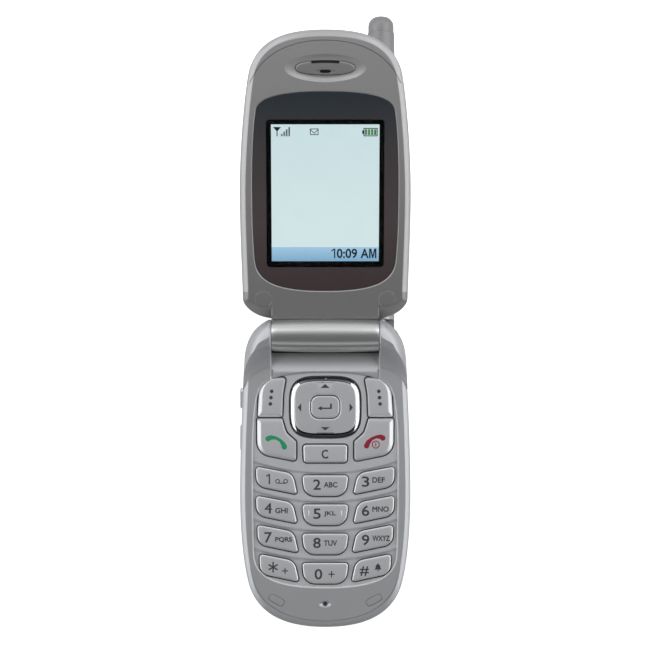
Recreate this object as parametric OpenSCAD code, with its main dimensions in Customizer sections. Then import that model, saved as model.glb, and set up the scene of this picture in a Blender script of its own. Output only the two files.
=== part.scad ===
// Folding mobile phone with a pull-out antenna, opened flat on its back.
// Millimetres. X to the right, Y from the keypad towards the lid, Z up from the flat back.
// The origin is on the flat back, under the keypad.
// Hinge coordinates: dy and dz are measured from the hinge axis, and in the lid
// u runs along the open lid and w out of its inner face.

/* [Overall] */
// Distance from the origin to the hinge axis along Y
hinge_y = 40; // [39:0.5:41]
// Height of the hinge axis above the flat back
hinge_z = 14.85; // [14.85:0.05:15.1]
// Angle between base and lid when open
open_angle = 165; // [160:1:168]
// Length of the base from the hinge axis to its tip
base_len = 79.1; // [78.8:0.1:80.5]
// Width of the base
base_w = 46.4; // [46.2:0.1:48]
// Length of the lid from the hinge axis to its tip
lid_len = 82.1; // [81.8:0.1:84]
// Width of the lid
lid_w = 45.8; // [45.6:0.1:47]

/* [Base shells] */
// Height of the rim of the front housing
rim_z = 13.5; // [13.4:0.05:13.55]
// Height of the seam between the two housings
seam_z = 6.6; // [6.5:0.1:6.8]
// Wall thickness of the housings
wall = 1.3; // [1.1:0.1:1.4]
// Width of the bevel round the front face
bevel = 1.35; // [1:0.05:1.5]
// Depth of the keypad recess below the rim
recess_depth = 0.6; // [0.4:0.05:0.65]
// Depth of the step at each key row
row_step = 0.3; // [0.15:0.05:0.35]
// Thickness of the battery pack
battery_t = 5.0; // [4.8:0.05:5.05]
// Thickness of the floor above the battery
floor_t = 1.0; // [0.9:0.05:1]

/* [Hinge] */
// Radius of the hinge barrel on the lid
barrel_r = 4.55; // [4.4:0.05:4.6]
// Half width of the gap between the shoulders
barrel_half = 14.7; // [14.5:0.1:14.9]
// Radius of the shoulders of the base
shoulder_r = 4.5; // [4.4:0.05:4.5]
// Radius of the spring cartridge in the barrel
cartridge_r = 2.9; // [2.7:0.05:3]
// Radius of the two hinge pins
hinge_pin_r = 1.4; // [1.2:0.05:1.6]
// Radial running clearance of pins and sliding rods
running_gap = 0.05; // [0.03:0.01:0.08]

/* [Lid] */
// Height of the lid's inner face above the hinge axis
face_w = 0.95; // [0.9:0.01:0.97]
// Depth of the seam between bezel and cover below the hinge axis
lid_seam = 3.2; // [3.1:0.1:3.4]
// Depth of the lid's outer face below the hinge axis
lid_back = 7.8; // [7.6:0.1:8]
// Width of the display window in the bezel
view_w = 31.4; // [30.6:0.1:32]
// Width of the lit display
lcd_w = 28.8; // [28:0.1:29.2]
// Height of the lit display
lcd_h = 36.8; // [36:0.1:37.2]
// Thickness of the display lens
lens_t = 0.7; // [0.6:0.05:0.75]

/* [Keys] */
// Distance between two key rows
row_pitch = 7.9; // [7.85:0.05:8]
// Gap round each key in its opening
key_gap = 0.2; // [0.16:0.01:0.22]
// Height of the key tops above the recess floor
key_rise = 0.6; // [0.5:0.05:0.68]
// Travel of a key
key_travel = 0.35; // [0.25:0.05:0.38]
// Width of the navigation key
nav_w = 19.1; // [18.8:0.1:19.3]
// Height of the navigation key
nav_h = 16.4; // [16.2:0.1:16.6]
// Tilt of the navigation key to each side, in degrees
nav_tilt = 1.2; // [1:0.1:1.2]

/* [Antenna] */
// Distance of the antenna from the middle plane
antenna_x = 15.5; // [15.3:0.1:15.7]
// Height of the antenna above the back
antenna_z = 6.9; // [6.85:0.05:6.95]
// Radius of the antenna rod
rod_r = 1.0; // [0.9:0.05:1.05]
// Length of the antenna's travel
antenna_travel = 55; // [45:1:55]
// Radius of the antenna's cap
cap_r = 3.8; // [3.5:0.1:3.8]
// Length of the antenna's cap
cap_len = 20; // [17:0.5:22]
// Radius of the boss that guides the antenna
boss_r = 3.6; // [3.4:0.1:3.6]
// How far the boss reaches behind the hinge axis
boss_end = 13; // [12.5:0.1:13.2]

/* [Fittings] */
// Bore radius of the headset socket
jack_r = 1.27; // [1.25:0.01:1.3]
// Depth of the headset socket
jack_depth = 10; // [9:0.5:10.5]
// Radius of the housing screws
screw_r = 0.8; // [0.7:0.05:0.9]
// Travel of the battery latch
latch_travel = 1.4; // [1.2:0.1:1.5]
// Travel of a side key
side_travel = 0.3; // [0.2:0.05:0.35]

/* [Hidden] */
$fn = 48;

skin = 0.01;                    // thickness of the slices that a hull joins
loose = 0.2;                    // gap round pieces that drop into a pocket
fold = 180 - open_angle;        // how far the open lid leans up
floor_z = battery_t + loose;    // underside of the floor above the battery
floor_top = floor_z + floor_t;
recess_z = rim_z - recess_depth;
plate_z = recess_z - 1.0;       // underside of the keypad plate
flange_t = 0.65;
flange_top = plate_z - 0.3;
flange_z = flange_top - flange_t;
post_top = flange_z - key_travel - 0.05;
mat_z = 9.9;
mat_t = 0.25;
board_z = 8.6;
board_t = 1.0;
trough_r = barrel_r + 0.3;
hollow = [-7.2, 4.4];           // middle of the round hollow in front of the barrel
hollow_r = 6.3;
battery_lo = -33;
battery_hi = 21;
jack_y = -18;
jack_z = 7.5;
jack_body_r = 1.9;
jack_face = base_w / 2 - 1.8;   // mouth of the headset socket
jack_back = jack_face - jack_depth - 1;
slot_w = 14;                    // width of the bottom connector
slot_h = 2.1;
side_z = 9.3;                   // height of the side keys
side_h = 2.8;
side_proud = 0.25;
side_inner = -base_w / 2 + wall + side_travel + 0.6;
lower_screws = [[-9, -35], [9, -35]];
upper_screws = [[-8, 37.5], [8, 37.5]];
screw_head_r = 1.7;
mic_y = -32.8;
boss_wall = 1.1;
cap_spot = [16.7, 11.1];        // screw caps of the lid, from the hinge axis
cap_hole_r = 2.0;
ear_u = lid_len - 9.8;          // middle of the earpiece
lcd_lo = 20.6;
lens_lo = lcd_lo - 8.1;
lens_hi = lcd_lo + lcd_h + 8.7;
lens_x = view_w / 2 + 3.8;      // half width of the lens at its widest
speaker_r = 6.0;
// Middle of the earpiece speaker, half way between the display module and the tip
speaker_u = (lcd_lo + lcd_h + lid_len - 0.1) / 2;
motor_u = 15.9;
motor_w = -2.4;
motor_r = 1.8;

silver = [0.72, 0.73, 0.75];
bright = [0.8, 0.81, 0.83];
grey = [0.52, 0.53, 0.55];
dark = [0.12, 0.13, 0.14];
green = [0.1, 0.35, 0.2];
steel = [0.62, 0.63, 0.65];
gold = [0.85, 0.68, 0.3];
key_grey = [0.68, 0.69, 0.71];

// ---- Curves ----

// Points of a Bezier curve, without its last point
function bez(a, b, c, d, n = 7) = [for (i = [0:n - 1])
    let (t = i / n, s = 1 - t) s * s * s * a + 3 * s * s * t * b + 3 * s * t * t * c + t * t * t * d];

// A half outline from bottom to top, closed by its mirror image
function mirrored(h) = concat(h, [for (i = [len(h) - 1:-1:0]) if (h[i][0] > 0.001) [-h[i][0], h[i][1]]]);

function unit(v) = v / norm(v);

// Arc that rounds the corner p between its neighbours a and b
function corner_arc(a, p, b, r, n) =
    let (v = unit(a - p), q = unit(b - p), half = acos(v * q) / 2,
         c = p + unit(v + q) * r / sin(half),
         s = p + v * r / tan(half) - c, e = p + q * r / tan(half) - c,
         t0 = atan2(s[1], s[0]), dt = atan2(e[1], e[0]) - t0,
         turn = dt > 180 ? dt - 360 : (dt < -180 ? dt + 360 : dt))
    [for (i = [0:n]) c + r * [cos(t0 + turn * i / n), sin(t0 + turn * i / n)]];

// A polygon with each corner rounded by its own radius
function rounded(p, r, n = 5) = [for (i = [0:len(p) - 1])
    each corner_arc(p[(i + len(p) - 1) % len(p)], p[i], p[(i + 1) % len(p)], r[i], n)];

function flipped(p) = [for (i = [len(p) - 1:-1:0]) [-p[i][0], p[i][1]]];
function moved(p, y) = [for (q = p) [q[0], q[1] + y]];
function box_pts(x, y) = [[-x, -y], [x, -y], [x, y], [-x, y]];

// Superellipse with half axes a and b
function oval(a, b, e, n = 40) = [for (i = [0:n - 1])
    let (c = cos(360 * i / n), s = sin(360 * i / n))
    [a * sign(c) * pow(abs(c), 2 / e), b * sign(s) * pow(abs(s), 2 / e)]];

// ---- Outlines ----

// Half outline of the base, from the tip to the back wall, measured from the hinge axis
base_half = concat(
    bez([0, -base_len], [10.5, -base_len], [base_w / 2 - 5.6, 3.1 - base_len],
        [base_w / 2 - 2.8, 10.5 - base_len]),
    bez([base_w / 2 - 2.8, 10.5 - base_len], [base_w / 2 - 1.5, 14.2 - base_len],
        [base_w / 2, 23 - base_len], [base_w / 2, -42]),
    bez([base_w / 2, -42], [base_w / 2, -30], [base_w / 2 - 0.7, -15], [base_w / 2 - 1.15, -6.6]),
    bez([base_w / 2 - 1.15, -6.6], [base_w / 2 - 1.45, -1.8], [base_w / 2 - 3, 1.9], [15.6, 4.3]),
    [[15.6, 4.3]]);
base_outline = moved(mirrored(base_half), hinge_y);

// Half outline of the lid, from the hinge to the tip
lid_half = concat(
    [[14.6, 4.3]],
    bez([15.2, 4.3], [19.5, 5.0], [lid_w / 2 - 1, 7.4], [lid_w / 2 - 0.6, 9.9]),
    bez([lid_w / 2 - 0.6, 9.9], [lid_w / 2 - 0.4, 18], [lid_w / 2, 28], [lid_w / 2, 37.4]),
    bez([lid_w / 2, 37.4], [lid_w / 2, 52], [lid_w / 2 - 1.9, lid_len - 13.5],
        [lid_w / 2 - 2.9, lid_len - 10.1]),
    bez([lid_w / 2 - 2.9, lid_len - 10.1], [lid_w / 2 - 5.7, lid_len - 1.9], [9.6, lid_len],
        [0, lid_len]),
    [[0, lid_len]]);
lid_outline = mirrored(lid_half);

recess_x = base_w / 2 - 3.15;   // half width of the recess, inside the rim
recess_half = concat(
    bez([0, 68.6], [13, 68.6], [recess_x - 0.65, 66], [recess_x - 0.37, 59.3]),
    bez([recess_x - 0.37, 59.3], [recess_x - 0.15, 54], [recess_x, 45], [recess_x, 33.8]),
    bez([recess_x, 33.8], [recess_x, 22], [recess_x - 0.75, 16], [recess_x - 2.25, 13.7]),
    bez([recess_x - 2.25, 13.7], [15, 10.4], [8, 9.6], [0, 9.6]),
    [[0, 9.6]]);
recess_outline = moved([for (p = mirrored(recess_half)) [p[0], -p[1]]], hinge_y);

lens_half = concat(
    bez([0, lens_lo], [12, lens_lo], [lens_x - 1.3, lens_lo + 2], [lens_x - 0.6, lens_lo + 8]),
    bez([lens_x - 0.6, lens_lo + 8], [lens_x - 0.3, 24], [lens_x, 28], [lens_x, 36]),
    bez([lens_x, 36], [lens_x + 0.1, 45], [lens_x - 0.2, lens_hi - 10.1], [lens_x - 1.2, lens_hi - 4.5]),
    bez([lens_x - 1.2, lens_hi - 4.5], [lens_x - 2.3, lens_hi - 0.9], [9, lens_hi], [0, lens_hi]),
    [[0, lens_hi]]);
lens_outline = mirrored(lens_half);

// Key outlines of the first number row; the others are a row pitch below, the last two drawn in
key_x = recess_x - 0.95;        // outer edge of the outer keys
row_narrow = [[0, 0], [0, 0], [0.3, 0.3], [0.85, 0.5]];
function outer_key(row) = let (far = key_x - row_narrow[row][0], near = row_narrow[row][1])
    rounded([[-far, 4.45], [0.2 - far, -1.1], [near - 7.3, -3.4], [near - 8.6, 2.5]], [0.8, 3, 0.6, 3]);
middle_key = rounded([[-6.4, 2.35], [-5.7, -3.8], [5.7, -3.8], [6.4, 2.35]], [0.8, 3.2, 3.2, 0.8]);
soft_key = rounded([[0.5 - key_x, 17.85], [-11.7, 17.85], [-11.5, 24], [-10.7, 28.7], [0.9 - key_x, 28.3]],
                   [0.5, 0.5, 6, 0.8, 4.8]);
call_key = rounded([[0.3 - key_x, 17.5], [0.4 - key_x, 7.6], [-7.7, 5.5], [-7.8, 11.2], [-10.6, 13.6],
                    [-11.8, 17.5]], [0.5, 4, 0.8, 0.8, 3, 0.5]);
clear_outline = rounded([[-6.1, 10.3], [-5.9, 5.2], [5.9, 5.2], [6.1, 10.3]], [0.8, 0.8, 0.8, 0.8]);
nav_y = 20.5;                   // middle of the navigation key
nav_outline = moved(oval(nav_w / 2, nav_h / 2, 3.6), nav_y);
ok_half = [4.0, 3.1];
ok_outline = moved(rounded(box_pts(ok_half[0], ok_half[1]), [2.2, 2.2, 2.2, 2.2]), nav_y);
ok_gap = 0.3;                   // gap between the OK key and the ring round it
ok_lip = 0.8;                   // flange of the OK key under the ring

// Every opening of the keypad plate
plain_keys = concat(
    [for (r = [0:3]) each [moved(outer_key(r), -r * row_pitch), moved(middle_key, -r * row_pitch),
                           moved(flipped(outer_key(r)), -r * row_pitch)]],
    [soft_key, flipped(soft_key), call_key, flipped(call_key), clear_outline]);

// ---- Shared shapes ----

module at_hinge() { translate([0, hinge_y, hinge_z]) children(); }
// The lid's own coordinates: x, u along the open lid, w out of its inner face
module on_lid() { at_hinge() rotate([fold, 0, 0]) children(); }

// A thin slice of the base outline
module base_slice(z, inset, drop = 0) {
    translate([0, 0, z]) scale([1 - drop / (base_w / 2), 1, 1])
        linear_extrude(skin) offset(delta = -inset) polygon(base_outline);
}

module lid_slice(w, inset) {
    translate([0, 0, w]) linear_extrude(skin) offset(delta = -inset) polygon(lid_outline);
}

// A flat outline between two heights
module slab(pts, z0, z1, grow = 0) {
    translate([0, 0, z0]) linear_extrude(z1 - z0)
        if (grow == 0) polygon(pts); else offset(delta = grow) polygon(pts);
}

// A cylinder along X between two places
module x_rod(r, x0, x1) { translate([x0, 0, 0]) rotate([0, 90, 0]) cylinder(r = r, h = x1 - x0); }
module y_rod(r, y0, y1) { translate([0, y0, 0]) rotate([-90, 0, 0]) cylinder(r = r, h = y1 - y0); }

// A side profile in dy and dz, extruded along X
module x_profile(pts, x0, x1) {
    translate([x0, 0, 0]) rotate([90, 0, 90]) linear_extrude(x1 - x0) polygon(pts);
}

// The whole back of the phone below the seam, with its rounded edges
module back_shape() {
    hull() {
        base_slice(0, 4.0);
        base_slice(0.5, 2.5);
        base_slice(1.4, 1.3);
        base_slice(2.8, 0.5);
        base_slice(4.6, 0.05);
        base_slice(seam_z - skin, 0);
    }
}

// ---- Base: housings ----

crease = [-2.85, 3.5];          // where the shoulder's slope begins, from the hinge axis
slope_end = [-9.2, rim_z - hinge_z];
slope = (crease[1] - slope_end[1]) / (crease[0] - slope_end[0]);

// Side view of a shoulder: round about the hinge axis, with a slope towards the keypad
shoulder_profile = concat(
    [[shoulder_r, seam_z - hinge_z]],
    [for (a = [0:12:120]) shoulder_r * [cos(a), sin(a)]],
    [crease, slope_end, [slope_end[0] - 0.8, slope_end[1] - 0.6],
     [slope_end[0] - 0.8, seam_z - hinge_z]]);

module shoulders() {
    intersection() {
        hull() {
            base_slice(seam_z, 0);
            base_slice(rim_z, 0.05);
            base_slice(16.2, 0, 0.7);
            base_slice(17.8, 0, 1.9);
            base_slice(18.8, 0, 3.5);
            base_slice(hinge_z + shoulder_r, 0, 6.2);
        }
        at_hinge() for (s = [-1, 1])
            x_profile(shoulder_profile, s > 0 ? barrel_half : -base_w, s > 0 ? base_w : -barrel_half);
    }
}

// The step at each key row: a shallow ramp that sags in the middle like a smile
step_r = 62;
first_step = 2.92;
module row_ramp(y) {
    translate([0, y + step_r, recess_z]) rotate_extrude(angle = 40, start = 250)
        polygon([[step_r, skin], [step_r, -row_step], [step_r + row_pitch - 0.4, -0.02],
                 [step_r + row_pitch - 0.4, skin]]);
}

module front_housing() color(silver) difference() {
    union() {
        hull() {
            base_slice(seam_z, 0);
            base_slice(rim_z - bevel, 0.1);
            base_slice(rim_z - 0.55, 0.5);
            base_slice(rim_z - skin, bevel);
        }
        shoulders();
    }
    // Room for the barrel, and the hollow in front of it
    at_hinge() x_rod(trough_r, -barrel_half, barrel_half);
    at_hinge() translate([-barrel_half, -trough_r, 0]) cube([2 * barrel_half, 3 * trough_r, 9]);
    at_hinge() translate([0, hollow[0], hollow[1]]) x_rod(hollow_r, -barrel_half, barrel_half);
    // Inside: low under the hinge, high under the keypad
    difference() {
        slab(base_outline, seam_z - 1, plate_z, -wall);
        translate([-base_w, hinge_y - 6.4, 9]) cube([2 * base_w, 20, 9]);
        for (p = lower_screws) translate([p[0], p[1], 0]) cylinder(r = screw_r + boss_wall, h = rim_z);
        for (p = upper_screws) translate([p[0], p[1], 0]) cylinder(r = screw_r + boss_wall, h = rim_z);
    }
    for (p = lower_screws) translate([p[0], p[1], 0]) cylinder(r = screw_r, h = plate_z - 0.6);
    for (p = upper_screws) translate([p[0], p[1], 0]) cylinder(r = screw_r, h = 9.3);
    // Keypad recess, its steps and the key openings
    slab(recess_outline, recess_z, rim_z + 1);
    intersection() {
        for (r = [0:3]) row_ramp(first_step - r * (row_pitch - 0.05));
        slab(recess_outline, recess_z - 1, rim_z);
    }
    for (k = plain_keys) slab(k, plate_z - 1, rim_z + 1, key_gap);
    slab(nav_outline, plate_z - 1, rim_z + 1, key_gap + 0.05);
    // Microphone hole and the seats of the two bumpers
    translate([0, mic_y, plate_z - 1]) cylinder(r = 0.65, h = 3);
    translate([0, mic_y, rim_z + 1.4]) sphere(r = 1.9);
    for (s = [-1, 1]) bumper(s, rim_z - 0.4, rim_z + 1, 0.08);
    // Hinge pin sockets, side key openings, headset hole and bottom connector
    at_hinge() x_rod(hinge_pin_r, -19.5, 19.5);
    side_key_body(volume_up, -base_w / 2 - 1, side_inner + 2, key_gap);
    side_key_body(volume_down, -base_w / 2 - 1, side_inner + 2, key_gap);
    translate([0, jack_y, jack_z]) x_rod(jack_body_r + loose, jack_back - loose, base_w);
    translate([-slot_w / 2 - loose, hinge_y - base_len - 1, seam_z - 1])
        cube([slot_w + 2 * loose, 8, slot_h + 0.9 + loose]);
    translate([antenna_x, 0, antenna_z]) y_rod(1.9, hinge_y, hinge_y + 9);
}

// One of the two pads that the closed lid rests on
module bumper(s, z0, z1, grow) {
    translate([s * 13.2, -31.7, z0]) rotate([0, 0, s * 28]) linear_extrude(z1 - z0)
        union() {
            square([2.3, 1.9 + 2 * grow], center = true);
            for (e = [-1, 1]) translate([e * 1.15, 0]) circle(r = 0.95 + grow);
        }
}

module lid_bumpers() color(grey) for (s = [-1, 1]) bumper(s, rim_z - 0.4, rim_z + 0.2, 0);

channel_end = hinge_y + 1.2 - antenna_travel - 2;
channel_r = rod_r + 0.25;
channel_wall = 0.4;

module rear_housing() color(grey) difference() {
    union() {
        difference() {
            union() {
                back_shape();
                // Boss for the antenna behind the right shoulder
                intersection() {
                    translate([antenna_x, 0, antenna_z]) y_rod(boss_r, hinge_y - 4, hinge_y + boss_end);
                    union() {
                        translate([0, 0, -1]) cube([base_w, 80, seam_z + 1]);
                        translate([0, hinge_y + 4.7, 0]) cube([base_w, 30, 20]);
                    }
                }
            }
            // Battery bay, the tray above it, and the room under the hinge
            translate([-base_w, battery_lo - loose, -1])
                cube([2 * base_w, battery_hi - battery_lo + 2 * loose, floor_z + 1]);
            slab(base_outline, floor_top, seam_z + 1, -wall);
            intersection() {
                slab(base_outline, 1.2, seam_z + 1, -wall);
                translate([-base_w, battery_hi + 1.5, 0]) cube([2 * base_w, 40, seam_z + 1]);
            }
        }
        // Tube that the antenna slides into
        intersection() {
            translate([antenna_x, 0, antenna_z])
                y_rod(channel_r + running_gap + channel_wall, channel_end, hinge_y + 5);
            translate([0, -60, floor_z]) cube([base_w, 120, 10]);
        }
        for (p = upper_screws) translate([p[0], p[1], 0.6])
            cylinder(r = screw_head_r + boss_wall, h = seam_z - 0.6);
    }
    translate([antenna_x, 0, antenna_z]) {
        y_rod(channel_r + running_gap, channel_end + 1, hinge_y + 4.9);
        y_rod(bushing_r, hinge_y + 4.5, hinge_y + boss_end + 1);
    }
    for (p = concat(lower_screws, upper_screws)) translate([p[0], p[1], -1]) {
        cylinder(r = screw_r + loose, h = 20);
        cylinder(r = screw_head_r + loose, h = 3.2);
    }
    // Latch window and the slot for its nose
    translate([-latch_w / 2 - loose, latch_y - loose, -1])
        cube([latch_w + 2 * loose, latch_l + latch_travel + 2 * loose, 3]);
    translate([-nose_w / 2 - loose, battery_hi - 1, latch_z - loose])
        cube([nose_w + 2 * loose, 4, latch_t + 2 * loose]);
    // Hook slots of the battery, connector, headset hole and contact slots
    battery_hooks(loose);
    translate([-slot_w / 2 - loose, hinge_y - base_len - 1, floor_top])
        cube([slot_w + 2 * loose, 8, 3]);
    translate([0, jack_y, jack_z]) x_rod(jack_body_r + loose, jack_back - loose, base_w);
    for (i = [-1:1]) contact(i, 0.1);
}

latch_w = 12;
latch_l = 5;
latch_y = battery_hi + 2.7;
latch_z = 1.4;
latch_t = 0.9;
nose_w = 6;

module battery_hooks(grow) {
    for (s = [-1, 1])
        translate([s * 7 - 2 - grow, battery_lo - 1 - grow, 2.4 - grow])
            cube([4 + 2 * grow, 1.5 + grow, 1.2 + 2 * grow]);
}

module battery_pack() color(grey) difference() {
    union() {
        intersection() {
            back_shape();
            translate([-base_w, battery_lo, 0]) cube([2 * base_w, battery_hi - battery_lo, battery_t]);
        }
        battery_hooks(0);
    }
    translate([-nose_w / 2 - 2 * loose, battery_hi - 1.1, latch_z - loose])
        cube([nose_w + 4 * loose, 2, latch_t + 2 * loose]);
}

module battery_latch() color(silver) union() {
    // Ribbed thumb piece in the window, guide plate and nose
    translate([-latch_w / 2, latch_y, 0.3]) cube([latch_w, latch_l, latch_z - 0.2]);
    translate([-latch_w / 2 - 1.5, latch_y - 0.9, latch_z]) cube([latch_w + 3, latch_l + 2.4, latch_t]);
    translate([-nose_w / 2, battery_hi - 0.8, latch_z]) cube([nose_w, latch_y - battery_hi + 1, latch_t]);
    for (i = [0:3]) translate([0, latch_y + 1 + i, 0.3]) x_rod(0.25, -4, 4);
}

// ---- Base: electronics ----

module board_cutouts() {
    for (p = lower_screws) translate([p[0], p[1]]) circle(r = screw_r + boss_wall + 0.3);
    translate([jack_back - 0.4, jack_y - jack_body_r - 0.3]) square([base_w, 2 * jack_body_r + 0.6]);
}

module main_board() color(green) translate([0, 0, board_z]) linear_extrude(board_t) difference() {
    intersection() {
        offset(delta = -3) polygon(base_outline);
        translate([-base_w, -37]) square([2 * base_w, hinge_y - 7 + 37]);
    }
    board_cutouts();
}

module rf_shields() color(steel) for (y = [[-12, 8], [10, 29]])
    translate([-15, y[0], floor_top + 0.2]) difference() {
        cube([26, y[1] - y[0], board_z - floor_top - 0.2]);
        translate([0.3, 0.3, 0.3]) cube([25.4, y[1] - y[0] - 0.6, 4]);
    }

module dome_sheet() color([0.75, 0.75, 0.7]) union() {
    translate([0, 0, board_z + board_t]) linear_extrude(0.15) difference() {
        offset(delta = -1.2) polygon(recess_outline);
        board_cutouts();
    }
    for (k = plain_keys) translate([mean(k)[0], mean(k)[1], board_z + board_t + 0.1])
        cylinder(r1 = 2.1, r2 = 1.2, h = 0.15);
}

function mean(p) = [for (q = p) 1] * p / len(p);

module keypad_mat() color([0.85, 0.86, 0.88]) union() {
    slab(recess_outline, mat_z, mat_z + mat_t, -0.8);
    for (k = plain_keys) slab(k, mat_z + mat_t, post_top, -1.6);
    slab(ok_outline, mat_z + mat_t, post_top, -1.2);
}

module io_connector() color(dark) translate([-slot_w / 2, hinge_y - base_len + 0.8, floor_top + 0.1])
    difference() {
        cube([slot_w, 6, slot_h]);
        translate([0.5, -1, 0.5]) cube([slot_w - 1, 5.5, slot_h - 1]);
        // Tongue with the contacts stays in the mouth
    }

module headset_jack() color(dark) translate([0, jack_y, jack_z]) difference() {
    x_rod(jack_body_r, jack_back, jack_face);
    x_rod(jack_r, jack_face - jack_depth, base_w);
}

module microphone() color(steel) translate([0, mic_y, board_z + board_t])
    cylinder(r = 1.5, h = plate_z - 0.2 - board_z - board_t);

module ringer_speaker() color(dark) translate([-4, -23, floor_top + 0.1]) difference() {
    cylinder(r = 6.5, h = board_z - 0.2 - floor_top);
    translate([0, 0, -1]) cylinder(r = 4.5, h = 1.4);
}

module contact(i, grow) {
    translate([i * 4 - 0.8 - grow, 14 - grow, battery_t]) cube([1.6 + 2 * grow, 3 + 2 * grow, 2]);
}

module battery_contacts() color(gold) intersection() {
    for (i = [-1:1]) contact(i, 0);
    translate([-10, 0, 0]) cube([20, 30, floor_top + 0.15]);
}

module housing_screws() color(steel) {
    for (p = lower_screws) translate([p[0], p[1], 0.9]) screw(screw_head_r, 1.2, plate_z - 2);
    for (p = upper_screws) translate([p[0], p[1], 0.9]) screw(screw_head_r, 1.2, 8);
}

// A pan head screw with its head down; length is measured from under the head
module screw(head_r, head_h, length) {
    difference() {
        cylinder(r = head_r, h = head_h);
        for (a = [0, 90]) rotate([0, 0, a]) translate([-0.9, -0.15, -0.1]) cube([1.8, 0.3, 0.6]);
    }
    translate([0, 0, head_h - skin]) cylinder(r = screw_r - 0.03, h = length - head_h);
}

// ---- Antenna ----

bushing_r = 2.3;
collar_t = 0.8;
stop_len = 2;
cap_round = 2.7;                // rounding of the cap's end
cap_start = hinge_y + boss_end + collar_t + 0.3 + antenna_travel;

module antenna_bushing() color(steel) translate([antenna_x, 0, antenna_z]) difference() {
    union() {
        y_rod(bushing_r - 0.03, hinge_y + 4.9, hinge_y + boss_end + collar_t);
        y_rod(3.1, hinge_y + boss_end, hinge_y + boss_end + collar_t);
    }
    y_rod(rod_r + running_gap, hinge_y, hinge_y + 30);
}

module antenna_rod() color(steel) translate([antenna_x, 0, antenna_z]) union() {
    y_rod(rod_r, hinge_y + 2, cap_start + 8);
    y_rod(channel_r, hinge_y + 4.7 - stop_len, hinge_y + 4.7);
}

// The cap: a thicker sleeve below, a groove, and a rounded end
module antenna_cap() color(grey) translate([antenna_x, cap_start, antenna_z]) rotate([-90, 0, 0])
    rotate_extrude() polygon(concat(
        [[rod_r, 0], [cap_r - 0.5, 0], [cap_r, 0.8], [cap_r - 0.15, cap_len - 4.6],
         [cap_r - 0.5, cap_len - 4.4], [cap_r - 0.5, cap_len - 4.0]],
        [for (a = [0:15:90]) [cap_r - 0.3 - cap_round * (1 - cos(a)), cap_len - cap_round * (1 - sin(a))]],
        [[0, cap_len], [0, 8], [rod_r, 8]]));

// ---- Keys ----

key_top = recess_z + key_rise;

// A key: flange under the plate, straight body and a crown with a bevelled edge
module key_solid(pts, flange_clip = [-99, 99]) {
    union() {
        slab(pts, flange_z, key_top - 0.3);
        intersection() {
            slab(pts, flange_z, flange_top, 0.34);
            translate([-50, flange_clip[0], 0]) cube([100, flange_clip[1] - flange_clip[0], 50]);
        }
        hull() {
            slab(pts, key_top - 0.3 - skin, key_top - 0.3);
            slab(pts, key_top - 0.1, key_top - 0.1 + skin, -0.12);
            slab(pts, key_top - skin, key_top, -0.5);
        }
    }
}

function digit_row(d) = floor((d - 1) / 3);
function digit_outline(d) = let (c = (d - 1) % 3, r = digit_row(d),
                                side = c == 0 ? outer_key(r) : flipped(outer_key(r)))
    moved(c == 1 ? middle_key : side, -r * row_pitch);

module digit_key(d) color(key_grey) key_solid(digit_outline(d));

module call_solid(pts) color(key_grey) union() {
    slab(pts, flange_z, key_top - 0.12);
    intersection() {
        slab(pts, flange_z, flange_top, 0.34);
        translate([-50, 0, 0]) cube([100, 17.58, 50]);
    }
    slab(pts, key_top - 0.12 - skin, key_top, -0.25);
}

module soft_solid(pts) color(key_grey) key_solid(pts, [17.77, 99]);

// The ring of the navigation key, stepped underneath for the OK key's flange
nav_drop = nav_w / 2 * sin(nav_tilt);   // how far the ring's edge sinks when it tips
nav_rise = 0.05;                        // its crown above the number keys
module nav_key() color(bright) difference() {
    union() {
        slab(nav_outline, flange_z, key_top - 0.3);
        slab(nav_outline, flange_z, flange_top - nav_drop, 0.34);
        hull() {
            slab(nav_outline, key_top - 0.3 - skin, key_top - 0.3);
            slab(nav_outline, key_top - 0.1, key_top - 0.1 + skin, -0.4);
            slab(nav_outline, key_top + nav_rise - skin, key_top + nav_rise, -1.1);
        }
    }
    slab(ok_outline, flange_z - 1, rim_z + 1, ok_gap);
    slab(ok_outline, flange_z - 1, flange_top + 0.2, ok_lip + ok_gap);
}

module ok_key() color(key_grey) union() {
    slab(ok_outline, flange_z, key_top - 0.2);
    slab(ok_outline, flange_z, flange_top - 0.2, ok_lip);
    hull() {
        slab(ok_outline, key_top - 0.2 - skin, key_top - 0.2);
        slab(ok_outline, key_top - skin, key_top, -0.4);
    }
}

// The rocker frame that lets the ring tip in both directions
module nav_carrier() color([0.3, 0.31, 0.33]) translate([0, nav_y, mat_z + mat_t + 0.25])
    linear_extrude(0.3) difference() {
        square([12.4, 13], center = true);
        square([10.6, 9], center = true);
    }

volume_up = [20.2, 25.8];
volume_down = [8.8, 15.7];

// The straight part of a side key, pointing out to the left
module side_key_body(span, x0, x1, grow) {
    l = span[1] - span[0];
    translate([x0, (span[0] + span[1]) / 2, side_z]) rotate([90, 0, 90]) linear_extrude(x1 - x0)
        offset(delta = grow) polygon(rounded(box_pts(l / 2, side_h / 2), [1.1, 1.1, 1.1, 1.1]));
}

module side_key(span) color(key_grey) {
    face = -base_w / 2 - side_proud;
    side_key_body(span, face + 0.3, side_inner + skin, 0);
    side_key_body(span, face, face + 0.31, -0.3);
    side_key_body(span, side_inner, side_inner + 0.5, 0.5);
}

// ---- Lid ----

corner_gap = 0.35;              // gap between the closed lid's corners and the shoulders' slopes
slope_start = -(slope_end[0] + (-face_w - corner_gap - slope_end[1]) / slope);

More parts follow.
